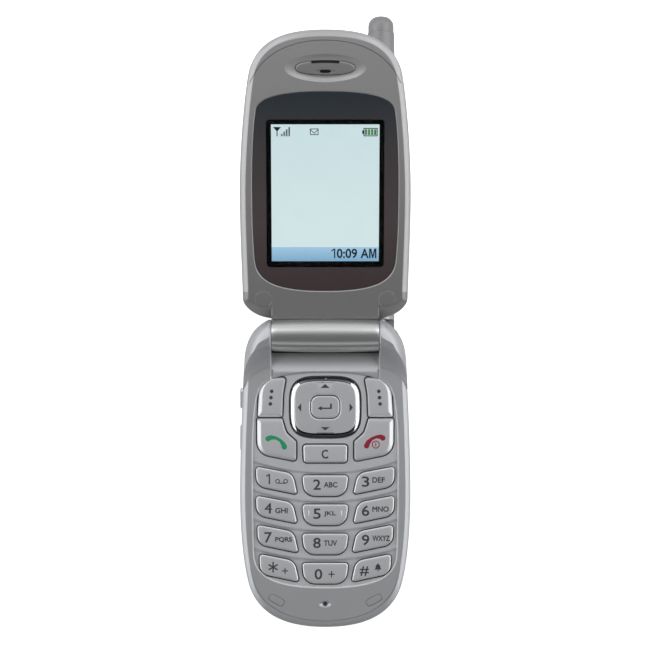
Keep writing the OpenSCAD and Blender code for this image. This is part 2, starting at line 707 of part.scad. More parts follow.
// Everything that the closed lid must leave free round the shoulders
module corner_cut() {
    for (s = [-1, 1]) {
        x0 = s > 0 ? barrel_half - 0.1 : -base_w;
        x1 = s > 0 ? base_w : 0.1 - barrel_half;
        x_rod(shoulder_r + 0.35, x0, x1);
        x_profile([[slope_start, face_w], [slope_start, 5], [-5, 5], [-5, face_w - slope * (slope_start + 5)]],
                  x0, x1);
    }
}

// Side view of the lid's back, which falls away from the hinge
back_profile = concat([[4.0, 3]],
    bez([4.0, -4.4], [8, -5.6], [13, -lid_back], [20, -lid_back]),
    [[lid_len + 5, -lid_back], [lid_len + 5, 3]]);

module lid_bezel() color(grey) on_lid() difference() {
    union() {
        difference() {
            hull() {
                lid_slice(-lid_seam, 0);
                lid_slice(face_w - bevel - 0.2, 0.1);
                lid_slice(face_w - 0.55, 0.5);
                lid_slice(face_w - skin, bevel);
            }
            slab(lid_outline, -lid_seam - 1, face_w - 1.2, -wall);
        }
        for (s = [-1, 1]) translate([s * cap_spot[0], cap_spot[1], face_w - 2.4])
            cylinder(r = cap_hole_r + 0.8, h = 1.3);
    }
    corner_cut();
    x_rod(barrel_r + 0.03, -barrel_half - 1, barrel_half + 1);
    translate([-9, 3, -lid_seam - 1]) cube([18, 4.5, lid_seam + 0.4]);
    // Lens seat and view of the display
    slab(lens_outline, face_w - lens_t - 0.15, face_w + 1);
    translate([-view_w / 2, lcd_lo - 1.4, -2]) cube([view_w, lcd_h + 2.8, 4]);
    // Earpiece dish, its seat and the sound hole
    intersection() {
        translate([0, ear_u, face_w]) scale([10.7 / 3.7, 1, 1]) ear_dish();
        translate([-11, ear_u - 5, -1]) cube([22, 10, 4]);
    }
    slab(moved(oval(7.9, 2.0, 2.4), ear_u), face_w - 1.0, face_w + 1);
    translate([-3, ear_u - 1.4, -2]) cube([6, 2, 4]);
    // Screw wells
    for (s = [-1, 1]) translate([s * cap_spot[0], cap_spot[1], 0]) {
        translate([0, 0, -0.6]) cylinder(r = cap_hole_r, h = 4);
        translate([0, 0, -4]) cylinder(r = screw_r, h = 6);
    }
}

// Shallow dish round the earpiece, drawn as a cone with a small depth
module ear_dish() { translate([0, 0, -0.55]) cylinder(r1 = 2.6, r2 = 3.7, h = 0.56); }

module cover_slices(grow) {
    hull() {
        lid_slice(-lid_seam - skin, 0 + grow);
        lid_slice(-5.0, 0.3 + grow);
        lid_slice(-6.3, 1.2 + grow);
        lid_slice(-7.2 + grow / 2, 2.8 + grow);
        lid_slice(-lid_back + grow * 0.9, 5 + grow);
    }
}

module lid_cover() color(bright) on_lid() difference() {
    union() {
        difference() {
            intersection() {
                cover_slices(0);
                x_profile(back_profile, -base_w, base_w);
            }
            intersection() {
                cover_slices(wall);
                x_profile([for (p = back_profile) p + [wall, p[1] < 0 ? wall : 0]], -base_w, base_w);
            }
        }
        intersection() {
            for (s = [-1, 1]) translate([s * cap_spot[0], cap_spot[1], -6])
                cylinder(r = screw_r + boss_wall, h = 6 - lid_seam);
            x_profile(back_profile, -base_w, base_w);
        }
    }
    slab(lid_outline, -lid_seam, face_w + 1, 1);
    corner_cut();
    x_rod(barrel_r + 0.03, -barrel_half - 1, barrel_half + 1);
    translate([-9, 3, -4.2]) cube([18, 4.5, 4]);
    for (s = [-1, 1]) translate([s * cap_spot[0], cap_spot[1], -5.2]) cylinder(r = screw_r, h = 6);
    // Seat and window of the outer display
    translate([0, outer_u, -lid_back - 1]) linear_extrude(1.75)
        polygon(rounded(box_pts(outer_w / 2 + 0.05, outer_h / 2 + 0.05), [2, 2, 2, 2]));
    translate([-8, outer_u - 5.5, -lid_back - 1]) cube([16, 11, 4]);
}

outer_u = 48;                   // middle of the outer display
outer_w = 20;
outer_h = 15;

module outer_lens() color(dark) on_lid() translate([0, outer_u, -lid_back + 0.05])
    linear_extrude(0.68) polygon(rounded(box_pts(outer_w / 2, outer_h / 2), [1.95, 1.95, 1.95, 1.95]));

module outer_display() color(steel) on_lid() translate([-9.5, outer_u - 7, -5.8]) cube([19, 14, 1.6]);

module hinge_barrel() color(bright) on_lid() difference() {
    union() {
        x_rod(barrel_r, 0.1 - barrel_half, barrel_half - 0.1);
        // Tongue that holds the barrel in the lid
        translate([-8.9, 3, -3]) cube([17.8, 4.4, 2.2]);
    }
    x_rod(cartridge_r + 0.02, -barrel_half, -0.8);
    x_rod(3.4, 0, 9);
    x_rod(hinge_pin_r + running_gap, 8, barrel_half);
    translate([0.8, 0, -2.4]) cube([7.4, 9, 1]);
}

module hinge_cartridge() color(steel) on_lid() difference() {
    x_rod(cartridge_r, 0.2 - barrel_half, -1);
    x_rod(hinge_pin_r + running_gap, -barrel_half, -7);
}

// The pins are held by the shoulders and carry the barrel
module hinge_cam_pin() color(steel) at_hinge() x_rod(hinge_pin_r - 0.02, -19.4, -7.5);
module hinge_pivot_pin() color(steel) at_hinge() x_rod(hinge_pin_r - 0.02, 9.4, 19.4);

// Flat cable: three quarters of a turn in the barrel and a tail into the lid
module flex_cable() color([0.75, 0.45, 0.15]) on_lid() union() {
    translate([1.5, 0, 0]) rotate([90, 0, 90]) linear_extrude(6) difference() {
        circle(r = 2.7);
        circle(r = 2.5);
        polygon([[0, 0], [6, 0], [6, -1.9], [0, -1.9]]);
    }
    translate([1.5, 1.6, -2.05]) cube([6, 16, 0.15]);
}

module display_lens() color(dark) on_lid() slab(lens_outline, face_w - lens_t - 0.1, face_w - 0.1, -0.06);

module lcd_module() color([0.75, 0.85, 0.86]) on_lid() union() {
    translate([-lcd_w / 2 - 2.2, lcd_lo - 2.6, -2.6]) cube([lcd_w + 4.4, lcd_h + 5.2, 2.2]);
    translate([-lcd_w / 2, lcd_lo, -0.5]) cube([lcd_w, lcd_h, 0.4]);
}

module lid_board() color(green) on_lid() translate([0, 0, -3.6]) linear_extrude(0.8)
    polygon([[-17, lcd_lo - 2.1], [17, lcd_lo - 2.1], [18, 40], [17.5, lcd_lo + lcd_h + 4.6],
             [-17.5, lcd_lo + lcd_h + 4.6], [-18, 40]]);

// Oval plate in the dish with two sound slots
module earpiece_trim() color(silver) on_lid() translate([0, ear_u, face_w - 0.95]) difference() {
    linear_extrude(0.75) polygon(oval(7.8, 1.9, 2.4));
    translate([-2.7, -1.5, -1]) cube([5.4, 1.0, 4]);
    translate([-3.6, 0.75, -1]) cube([7.2, 0.5, 4]);
}

module earpiece_speaker() color(dark) on_lid() translate([0, speaker_u, -3.0])
    difference() {
        cylinder(r = speaker_r, h = 2.6);
        translate([0, 0, 2.2]) cylinder(r = speaker_r - 1.7, h = 1);
    }

module vibration_motor() color(steel) on_lid() translate([0, motor_u, motor_w]) difference() {
    x_rod(motor_r, 11.3, 18.3);
    x_rod(0.35 + running_gap, 11, 15);
}

// Off-centre weight on the motor's shaft
module motor_weight() color([0.45, 0.43, 0.4]) on_lid() translate([0, motor_u, motor_w]) union() {
    x_rod(0.35, 8, 14.5);
    translate([8, 0, 0]) rotate([90, 0, 90]) rotate_extrude(angle = 180, start = 180)
        square([1.6, 3]);
}

module lid_magnet() color(steel) on_lid() translate([-15.5, 14.6, -2.2]) cube([4, 3, 1.7]);

module screw_caps() color(silver) on_lid() for (s = [-1, 1])
    translate([s * cap_spot[0], cap_spot[1], 0.3]) cylinder(r = cap_hole_r - 0.05, h = face_w - 0.35);

module lid_screws() color(steel) on_lid() for (s = [-1, 1])
    translate([s * cap_spot[0], cap_spot[1], 0.2]) mirror([0, 0, 1]) screw(1.6, 0.8, 5.2);

// ---- Drawing ----

front_housing();
rear_housing();
main_board();
rf_shields();
dome_sheet();
keypad_mat();
io_connector();
headset_jack();
microphone();
ringer_speaker();
battery_contacts();
antenna_bushing();
housing_screws();
lid_bumpers();
hinge_cam_pin();
hinge_pivot_pin();
battery_pack();
battery_latch();
antenna_rod();
antenna_cap();
digit_key(1);  // key_1
digit_key(2);  // key_2
digit_key(3);  // key_3
digit_key(4);  // key_4
digit_key(5);  // key_5
digit_key(6);  // key_6
digit_key(7);  // key_7
digit_key(8);  // key_8
digit_key(9);  // key_9
digit_key(10);  // key_star
digit_key(11);  // key_0
digit_key(12);  // key_hash
soft_solid(soft_key);  // soft_key_left
soft_solid(flipped(soft_key));  // soft_key_right
call_solid(call_key);  // send_key
call_solid(flipped(call_key));  // end_key
color(key_grey) key_solid(clear_outline);  // clear_key
nav_carrier();
nav_key();
ok_key();
side_key(volume_up);  // volume_up_key
side_key(volume_down);  // volume_down_key
lid_bezel();
lid_cover();
hinge_barrel();
hinge_cartridge();
flex_cable();
display_lens();
lcd_module();
lid_board();
outer_display();
outer_lens();
earpiece_trim();
earpiece_speaker();
vibration_motor();
motor_weight();
lid_magnet();
screw_caps();
lid_screws();
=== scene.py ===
"""Looks of a folding mobile phone, opened flat on its back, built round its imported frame.

Sizes are in millimetres in the frame's own axes; meshes are written in metres. Lid sizes are given
in the open lid's own coordinates: x, u along the lid from the hinge axis, and w out of its inner face.
"""
from __future__ import annotations

import logging
import math
from dataclasses import dataclass, field
from enum import Enum
from typing import Callable, Iterable, Sequence

import bmesh
import bpy
from mathutils import Matrix, Vector
from mathutils.bvhtree import BVHTree


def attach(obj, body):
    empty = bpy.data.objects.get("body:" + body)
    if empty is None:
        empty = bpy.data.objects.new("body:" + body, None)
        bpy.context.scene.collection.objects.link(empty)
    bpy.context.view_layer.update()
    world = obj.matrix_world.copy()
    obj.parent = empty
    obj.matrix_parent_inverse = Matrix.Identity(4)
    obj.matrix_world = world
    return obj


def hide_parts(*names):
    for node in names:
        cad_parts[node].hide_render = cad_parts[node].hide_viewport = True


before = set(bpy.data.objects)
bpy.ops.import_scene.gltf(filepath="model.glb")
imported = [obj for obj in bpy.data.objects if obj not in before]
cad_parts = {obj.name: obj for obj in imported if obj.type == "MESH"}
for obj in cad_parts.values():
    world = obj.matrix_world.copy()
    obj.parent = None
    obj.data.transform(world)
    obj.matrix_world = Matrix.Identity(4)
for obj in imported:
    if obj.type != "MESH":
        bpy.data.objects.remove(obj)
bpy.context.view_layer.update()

log = logging.getLogger("phone")
MM = 0.001
HINGE_Y = 40.0
HINGE_Z = 14.85
OPEN_ANGLE = 165.0
LEAN = math.radians(180.0 - OPEN_ANGLE)
BARREL_R = 4.55
BARREL_HALF = 14.7
RIM_Z = 13.5
SEAM_Z = 6.6
BASE_HALF = 23.2
FACE_W = 0.95
BARREL_ROOM = 4.85
HINGE_MID = (0, HINGE_Y, HINGE_Z)
ANTENNA_AXIS = (15.5, 6.9)
FRONT_SCREWS = ((-9, -35), (9, -35))
REAR_SCREWS = ((-8, 37.5), (8, 37.5))
CONNECTOR = (-7.2, 7.2, -40.1, -32.1)
SIDE_KEY_Z = 9.3

Point = tuple[float, float]
Point3 = tuple[float, float, float]
Colour = tuple[float, float, float]


# ---------------------------------------------------------------- curves and outlines

def bezier(a: Point, b: Point, c: Point, d: Point, n: int = 24) -> list[Point]:
    """Points of a cubic curve, without its last point.

    Args:
        a, b, c, d: the control points.
        n: how many steps the curve is cut into.

    Returns:
        The points in order.
    """
    out = []
    for i in range(n):
        t = i / n
        s = 1 - t
        out.append(tuple(s * s * s * a[k] + 3 * s * s * t * b[k] + 3 * s * t * t * c[k] + t * t * t * d[k]
                         for k in (0, 1)))
    return out


def mirrored(half: Sequence[Point]) -> list[Point]:
    """A closed outline from its right half and that half's mirror image."""
    return list(half) + [(-x, y) for x, y in reversed(half) if x > 0.01]


def resampled(points: Sequence[Point], n: int) -> list[Point]:
    """The closed outline cut into n equal steps, starting at its first point."""
    pts = list(points) + [points[0]]
    lengths = [0.0]
    for p, q in zip(pts, pts[1:]):
        lengths.append(lengths[-1] + math.dist(p, q))
    out, j = [], 0
    for i in range(n):
        want = lengths[-1] * i / n
        while lengths[j + 1] < want:
            j += 1
        f = (want - lengths[j]) / max(lengths[j + 1] - lengths[j], 1e-9)
        out.append((pts[j][0] + (pts[j + 1][0] - pts[j][0]) * f, pts[j][1] + (pts[j + 1][1] - pts[j][1]) * f))
    return out


def signed_area(points: Sequence[Point]) -> float:
    """Area of a closed outline, positive when it runs anticlockwise."""
    return 0.5 * sum(p[0] * q[1] - q[0] * p[1] for p, q in zip(points, list(points[1:]) + [points[0]]))


def grown(points: Sequence[Point], by: float) -> list[Point]:
    """The outline moved out by a distance, or in where it is negative, point for point."""
    turn = 1.0 if signed_area(points) > 0 else -1.0
    n = len(points)
    out = []
    for i, p in enumerate(points):
        a, b = points[i - 1], points[(i + 1) % n]
        d1 = Vector((p[0] - a[0], p[1] - a[1])).normalized()
        d2 = Vector((b[0] - p[0], b[1] - p[1])).normalized()
        n1, n2 = Vector((d1.y, -d1.x)), Vector((d2.y, -d2.x))
        m = n1 + n2
        m = m / max(m.length_squared / 2, 0.6)
        out.append((p[0] + m.x * by * turn, p[1] + m.y * by * turn))
    return out


def rounded(corners: Sequence[Point], radii: Sequence[float], n: int = 8) -> list[Point]:
    """A polygon with each corner rounded by its own radius.

    Args:
        corners: the sharp corners in order.
        radii: one radius for each corner.
        n: steps of each corner's arc.

    Returns:
        The rounded outline.
    """
    out = []
    count = len(corners)
    for i, (p, r) in enumerate(zip(corners, radii)):
        a, b, c = Vector(corners[i - 1]), Vector(p), Vector(corners[(i + 1) % count])
        v, q = (a - b).normalized(), (c - b).normalized()
        half = v.angle(q) / 2
        centre = b + (v + q).normalized() * r / math.sin(half)
        s, e = b + v * r / math.tan(half) - centre, b + q * r / math.tan(half) - centre
        t0 = math.atan2(s.y, s.x)
        turn = (math.atan2(e.y, e.x) - t0 + math.pi) % (2 * math.pi) - math.pi
        for k in range(n + 1):
            t = t0 + turn * k / n
            out.append((centre.x + r * math.cos(t), centre.y + r * math.sin(t)))
    return out


def oval(a: float, b: float, power: float, centre: Point = (0, 0), n: int = 96) -> list[Point]:
    """A superellipse with half axes a and b about a centre."""
    out = []
    for i in range(n):
        c, s = math.cos(2 * math.pi * i / n), math.sin(2 * math.pi * i / n)
        out.append((centre[0] + math.copysign(a * abs(c) ** (2 / power), c),
                    centre[1] + math.copysign(b * abs(s) ** (2 / power), s)))
    return out


def within(p: Point, ring: Sequence[Point]) -> bool:
    """Whether a point lies inside a closed outline."""
    odd = False
    for (x0, y0), (x1, y1) in zip(ring, [*ring[1:], ring[0]]):
        if (y0 > p[1]) != (y1 > p[1]) and p[0] < x0 + (x1 - x0) * (p[1] - y0) / (y1 - y0):
            odd = not odd
    return odd


def around(points: Sequence[Point], centre: Point, n: int) -> list[Point]:
    """An outline's points at even angles about a centre inside it."""
    polar = sorted((math.atan2(y - centre[1], x - centre[0]) % math.tau,
                    math.hypot(x - centre[0], y - centre[1])) for x, y in resampled(points, 4 * n))
    polar = [(polar[-1][0] - math.tau, polar[-1][1]), *polar, (polar[0][0] + math.tau, polar[0][1])]
    out, k = [], 0
    for i in range(n):
        t = math.tau * i / n
        while polar[k + 1][0] < t:
            k += 1
        (t0, r0), (t1, r1) = polar[k], polar[k + 1]
        r = r0 + (r1 - r0) * (t - t0) / max(t1 - t0, 1e-9)
        out.append((centre[0] + r * math.cos(t), centre[1] + r * math.sin(t)))
    return out


def flipped(points: Sequence[Point]) -> list[Point]:
    """The outline's mirror image across the middle plane."""
    return [(-x, y) for x, y in reversed(points)]


def moved(points: Sequence[Point], dy: float, dx: float = 0.0) -> list[Point]:
    """The outline shifted in its plane."""
    return [(x + dx, y + dy) for x, y in points]


def arc(cx: float, cy: float, r: float, a0: float, a1: float, n: int) -> list[Point]:
    """Points on an arc between two angles in degrees, ends included."""
    return [(cx + r * math.cos(math.radians(a0 + (a1 - a0) * i / n)),
             cy + r * math.sin(math.radians(a0 + (a1 - a0) * i / n))) for i in range(n + 1)]


# ---------------------------------------------------------------- meshes

class Place(Enum):
    """Which coordinates a mesh is drawn in."""
    BASE = "base"
    LID = "lid"
    HINGE = "hinge"


def to_row(p: Sequence[float], place: Place) -> Vector:
    """A point in millimetres as a vector in metres in the frame's axes."""
    if place is Place.BASE:
        return Vector(p) * MM
    if place is Place.HINGE:
        return Vector((p[0], p[1] + HINGE_Y, p[2] + HINGE_Z)) * MM
    x, u, w = p
    return Vector((x, HINGE_Y + u * math.cos(LEAN) - w * math.sin(LEAN),
                   HINGE_Z + u * math.sin(LEAN) + w * math.cos(LEAN))) * MM


class Solid:
    """A mesh in progress, in millimetres in its own place."""

    def __init__(self, verts: list[Sequence[float]], faces: list[Sequence[int]]) -> None:
        """Keeps the corners and faces."""
        self.verts = [tuple(v) for v in verts]
        self.faces = [tuple(f) for f in faces]

    @staticmethod
    def loft(rings: Sequence[Sequence[Point3]], closed_ends: bool = True) -> "Solid":
        """A skin through rings of equal count, with flat ends.

        Args:
            rings: each ring's points in order.
            closed_ends: whether the first and last ring are filled.

        Returns:
            The solid.
        """
        n = len(rings[0])
        verts = [p for ring in rings for p in ring]
        faces = []
        for r in range(len(rings) - 1):
            for i in range(n):
                j = (i + 1) % n
                faces.append((r * n + i, r * n + j, (r + 1) * n + j, (r + 1) * n + i))
        if closed_ends:
            faces.append(tuple(reversed(range(n))))
            faces.append(tuple(range((len(rings) - 1) * n, len(rings) * n)))
        return Solid(verts, faces)

    @staticmethod
    def collar(rings: Sequence[Sequence[Point3]]) -> "Solid":
        """A skin through rings whose last one joins the first, as round a hole."""
        n = len(rings[0])
        tube = Solid.loft(rings, closed_ends=False)
        last = (len(rings) - 1) * n
        tube.faces += [(last + i, last + (i + 1) % n, (i + 1) % n, i) for i in range(n)]
        return tube

    @staticmethod
    def stack(outline: Sequence[Point], levels: Sequence[tuple[float, float]]) -> "Solid":
        """A loft of one outline at several heights; each level is (height, growth)."""
        return Solid.loft([[(x, y, z) for x, y in grown(outline, g)] for z, g in levels])

    @staticmethod
    def slab(outline: Sequence[Point], z0: float, z1: float) -> "Solid":
        """A straight plate or cutter with one outline between two heights."""
        return Solid.loft([[(x, y, z) for x, y in outline] for z in (z0, z1)])

    @staticmethod
    def across(profile: Sequence[Point], x0: float, x1: float) -> "Solid":
        """A side profile in y and z, extruded along X."""
        return Solid.loft([[(x, y, z) for y, z in profile] for x in (x0, x1)])

    @staticmethod
    def spun(profile: Sequence[Point], axis: str, centre: Point3, n: int = 64) -> "Solid":
        """A closed profile of (radius, distance) points turned about an axis through centre.

        Args:
            profile: points from one pole or edge to the other; a radius of 0 makes a pole.
            axis: the letter of the axis, x, y or z.
            centre: where distance 0 lies.
            n: steps round the axis.

        Returns:
            The solid, closed at both ends.
        """
        rings = []
        for r, d in profile:
            ring = []
            for i in range(n):
                t = 2 * math.pi * i / n
                a, b = max(r, 1e-4) * math.cos(t), max(r, 1e-4) * math.sin(t)
                p = {"x": (d, a, b), "y": (b, d, a), "z": (a, b, d)}[axis]
                ring.append((centre[0] + p[0], centre[1] + p[1], centre[2] + p[2]))
            rings.append(ring)
        return Solid.loft(rings)

    def bent(self, rule: Callable[[Point3], Point3]) -> "Solid":
        """The same faces with every corner moved by a rule."""
        return Solid([rule(v) for v in self.verts], self.faces)

    def on_hinge(self) -> "Solid":
        """The same solid, moved from the hinge axis to the frame's origin."""
        return self.bent(lambda p: (p[0], p[1] + HINGE_Y, p[2] + HINGE_Z))

    def mesh(self, name: str, place: Place) -> bpy.types.Mesh:
        """Writes the solid as a Blender mesh in the frame's axes, facing outwards."""
        mesh = bpy.data.meshes.new(name)
        mesh.from_pydata([to_row(v, place) for v in self.verts], [], self.faces)
        bm = bmesh.new()
        bm.from_mesh(mesh)
        bmesh.ops.recalc_face_normals(bm, faces=bm.faces)
        bm.to_mesh(mesh)
        bm.free()
        return mesh


def add_object(name: str, mesh: bpy.types.Mesh) -> bpy.types.Object:
    """Links a mesh into the scene as an object at the origin."""
    obj = bpy.data.objects.new(name, mesh)
    bpy.context.scene.collection.objects.link(obj)
    return obj


def piece_of(name: str, solid: Solid, place: Place) -> bpy.types.Object:
    """A solid as a new object."""
    return add_object(name, solid.mesh(name, place))


def settled(obj: bpy.types.Object) -> None:
    """Turns an object's live modifiers into its plain mesh."""
    graph = bpy.context.evaluated_depsgraph_get()
    fresh = bpy.data.meshes.new_from_object(obj.evaluated_get(graph), depsgraph=graph)
    obj.modifiers.clear()
    obj.data = fresh


def combine(obj: bpy.types.Object, others: Sequence[bpy.types.Object], how: str) -> None:
    """Cuts, joins or limits an object by other objects, which are used up.

    Args:
        obj: the object that changes.
        others: closed meshes.
        how: DIFFERENCE, UNION or INTERSECT.
    """
    for other in others:
        mod = obj.modifiers.new("carve", "BOOLEAN")
        mod.operation, mod.solver, mod.object = how, "MANIFOLD", other
    settled(obj)
    for other in others:
        bpy.data.objects.remove(other, do_unlink=True)


def carve(obj: bpy.types.Object, tools: Iterable[Solid], place: Place, how: str = "DIFFERENCE") -> None:
    """Cuts, joins or limits an object by solids that are drawn in a place's coordinates."""
    combine(obj, [piece_of("cutter", tool, place) for tool in tools], how)


def soften(obj: bpy.types.Object, width: float, angle: float) -> None:
    """Bevels the edges sharper than an angle in degrees by a width in millimetres."""
    mod = obj.modifiers.new("edge", "BEVEL")
    mod.width, mod.segments, mod.limit_method = width * MM, 2, "ANGLE"
    mod.angle_limit = math.radians(angle)
    settled(obj)


def smooth(obj: bpy.types.Object, angle: float = 30.0, weigh: bool = True) -> None:
    """Shades an object smooth up to an angle, with flat faces kept flat."""
    mesh = obj.data
    bm = bmesh.new()
    bm.from_mesh(mesh)
    bmesh.ops.remove_doubles(bm, verts=bm.verts, dist=1e-7)
    bmesh.ops.dissolve_degenerate(bm, edges=bm.edges, dist=1e-7)
    bmesh.ops.dissolve_limit(bm, angle_limit=math.radians(0.01), verts=bm.verts, edges=bm.edges)
    bm.to_mesh(mesh)
    bm.free()
    mesh.shade_smooth()
    mesh.set_sharp_from_angle(angle=math.radians(angle))
    if weigh:
        mod = obj.modifiers.new("weigh", "WEIGHTED_NORMAL")
        mod.keep_sharp = True
        mod.weight = 100
        settled(obj)


class Sockets:
    """Builds shader trees with short calls."""

    def __init__(self, tree: bpy.types.NodeTree) -> None:
        """Works on one node tree."""
        self.tree = tree

    def add(self, kind: str, **values: object) -> bpy.types.Node:
        """Adds a node and sets its properties."""
        node = self.tree.nodes.new(kind)
        for key, value in values.items():
            setattr(node, key, value)
        return node

    def link(self, a: bpy.types.NodeSocket, b: bpy.types.NodeSocket) -> None:
        """Joins an output to an input."""
        self.tree.links.new(a, b)


def grain_group() -> bpy.types.NodeTree:
    """The fine flake and mottle of sprayed metallic paint, shared by all painted pieces.

    Returns:
        A group that turns a colour and a roughness into slightly varied ones, with a bumped normal.
    """
    name = "spray_grain"
    if name in bpy.data.node_groups:
        return bpy.data.node_groups[name]
    tree = bpy.data.node_groups.new(name, "ShaderNodeTree")
    face = tree.interface
    for label, kind, default in (("Color", "NodeSocketColor", (0.6, 0.6, 0.6, 1)),
                                 ("Roughness", "NodeSocketFloat", 0.4),
                                 ("Flake", "NodeSocketFloat", 0.06),
                                 ("Mottle", "NodeSocketFloat", 0.04),
                                 ("Bump", "NodeSocketFloat", 0.05)):
        face.new_socket(name=label, in_out="INPUT", socket_type=kind).default_value = default
    face.new_socket(name="Color", in_out="OUTPUT", socket_type="NodeSocketColor")
    face.new_socket(name="Roughness", in_out="OUTPUT", socket_type="NodeSocketFloat")
    face.new_socket(name="Normal", in_out="OUTPUT", socket_type="NodeSocketVector")
    s = Sockets(tree)
    inside, outside = s.add("NodeGroupInput"), s.add("NodeGroupOutput")
    place = s.add("ShaderNodeTexCoord")
    flake, mottle = s.add("ShaderNodeTexNoise"), s.add("ShaderNodeTexNoise")
    flake.inputs["Scale"].default_value = 5200
    flake.inputs["Detail"].default_value = 2
    mottle.inputs["Scale"].default_value = 160
    mottle.inputs["Detail"].default_value = 4
    for noise in (flake, mottle):
        s.link(place.outputs["Object"], noise.inputs["Vector"])
    total = None
    for noise, label in ((flake, "Flake"), (mottle, "Mottle")):
        centred = s.add("ShaderNodeMath", operation="SUBTRACT")
        s.link(noise.outputs["Fac"], centred.inputs[0])
        centred.inputs[1].default_value = 0.5
        scaled = s.add("ShaderNodeMath", operation="MULTIPLY")
        s.link(centred.outputs[0], scaled.inputs[0])
        s.link(inside.outputs[label], scaled.inputs[1])
        if total is None:
            total = scaled
        else:
            added = s.add("ShaderNodeMath", operation="ADD")
            s.link(total.outputs[0], added.inputs[0])
            s.link(scaled.outputs[0], added.inputs[1])
            total = added
    factor = s.add("ShaderNodeMath", operation="ADD")
    s.link(total.outputs[0], factor.inputs[0])
    factor.inputs[1].default_value = 1.0
    shade = s.add("ShaderNodeVectorMath", operation="SCALE")
    s.link(inside.outputs["Color"], shade.inputs[0])
    s.link(factor.outputs[0], shade.inputs["Scale"])
    rough = s.add("ShaderNodeMath", operation="MULTIPLY")
    s.link(inside.outputs["Roughness"], rough.inputs[0])
    s.link(factor.outputs[0], rough.inputs[1])
    bump = s.add("ShaderNodeBump")
    bump.inputs["Distance"].default_value = 0.00002
    s.link(inside.outputs["Bump"], bump.inputs["Strength"])
    s.link(flake.outputs["Fac"], bump.inputs["Height"])
    s.link(shade.outputs[0], outside.inputs["Color"])
    s.link(rough.outputs[0], outside.inputs["Roughness"])
    s.link(bump.outputs["Normal"], outside.inputs["Normal"])
    return tree


def new_paint(name: str) -> tuple[bpy.types.Material, Sockets, bpy.types.Node]:
    """A material with its node builder and its main shader."""
    mat = bpy.data.materials.new(name)
    mat.use_nodes = True
    return mat, Sockets(mat.node_tree), mat.node_tree.nodes["Principled BSDF"]


def grained(s: Sockets, **values: object) -> bpy.types.Node:
    """The spray grain as a node, with values for its inputs."""
    group = s.add("ShaderNodeGroup", node_tree=grain_group())
    for key, value in values.items():
        group.inputs[key].default_value = value
    return group


@dataclass(frozen=True)
class Finish:
    """How a surface looks: its colour, gloss and grain."""

    name: str
    color: tuple[float, float, float]
    metallic: float = 0.0
    roughness: float = 0.4
    coat: float = 0.0
    coat_roughness: float = 0.1
    flake: float = 0.06
    mottle: float = 0.03
    bump: float = 0.04
    glow: float = 0.0

    def material(self) -> bpy.types.Material:
        """The material of this finish, made once."""
        if self.name in bpy.data.materials:
            return bpy.data.materials[self.name]
        mat, s, shader = new_paint(self.name)
        group = grained(s, Color=(*self.color, 1), Roughness=self.roughness, Flake=self.flake,
                        Mottle=self.mottle, Bump=self.bump)
        for output, target in (("Color", "Base Color"), ("Roughness", "Roughness"), ("Normal", "Normal")):
            s.link(group.outputs[output], shader.inputs[target])
        shader.inputs["Metallic"].default_value = self.metallic
        shader.inputs["Coat Weight"].default_value = self.coat
        shader.inputs["Coat Roughness"].default_value = self.coat_roughness
        if self.glow > 0:
            shader.inputs["Emission Color"].default_value = (*self.color, 1)
            shader.inputs["Emission Strength"].default_value = self.glow
        mat.diffuse_color = (*self.color, 1)
        return mat


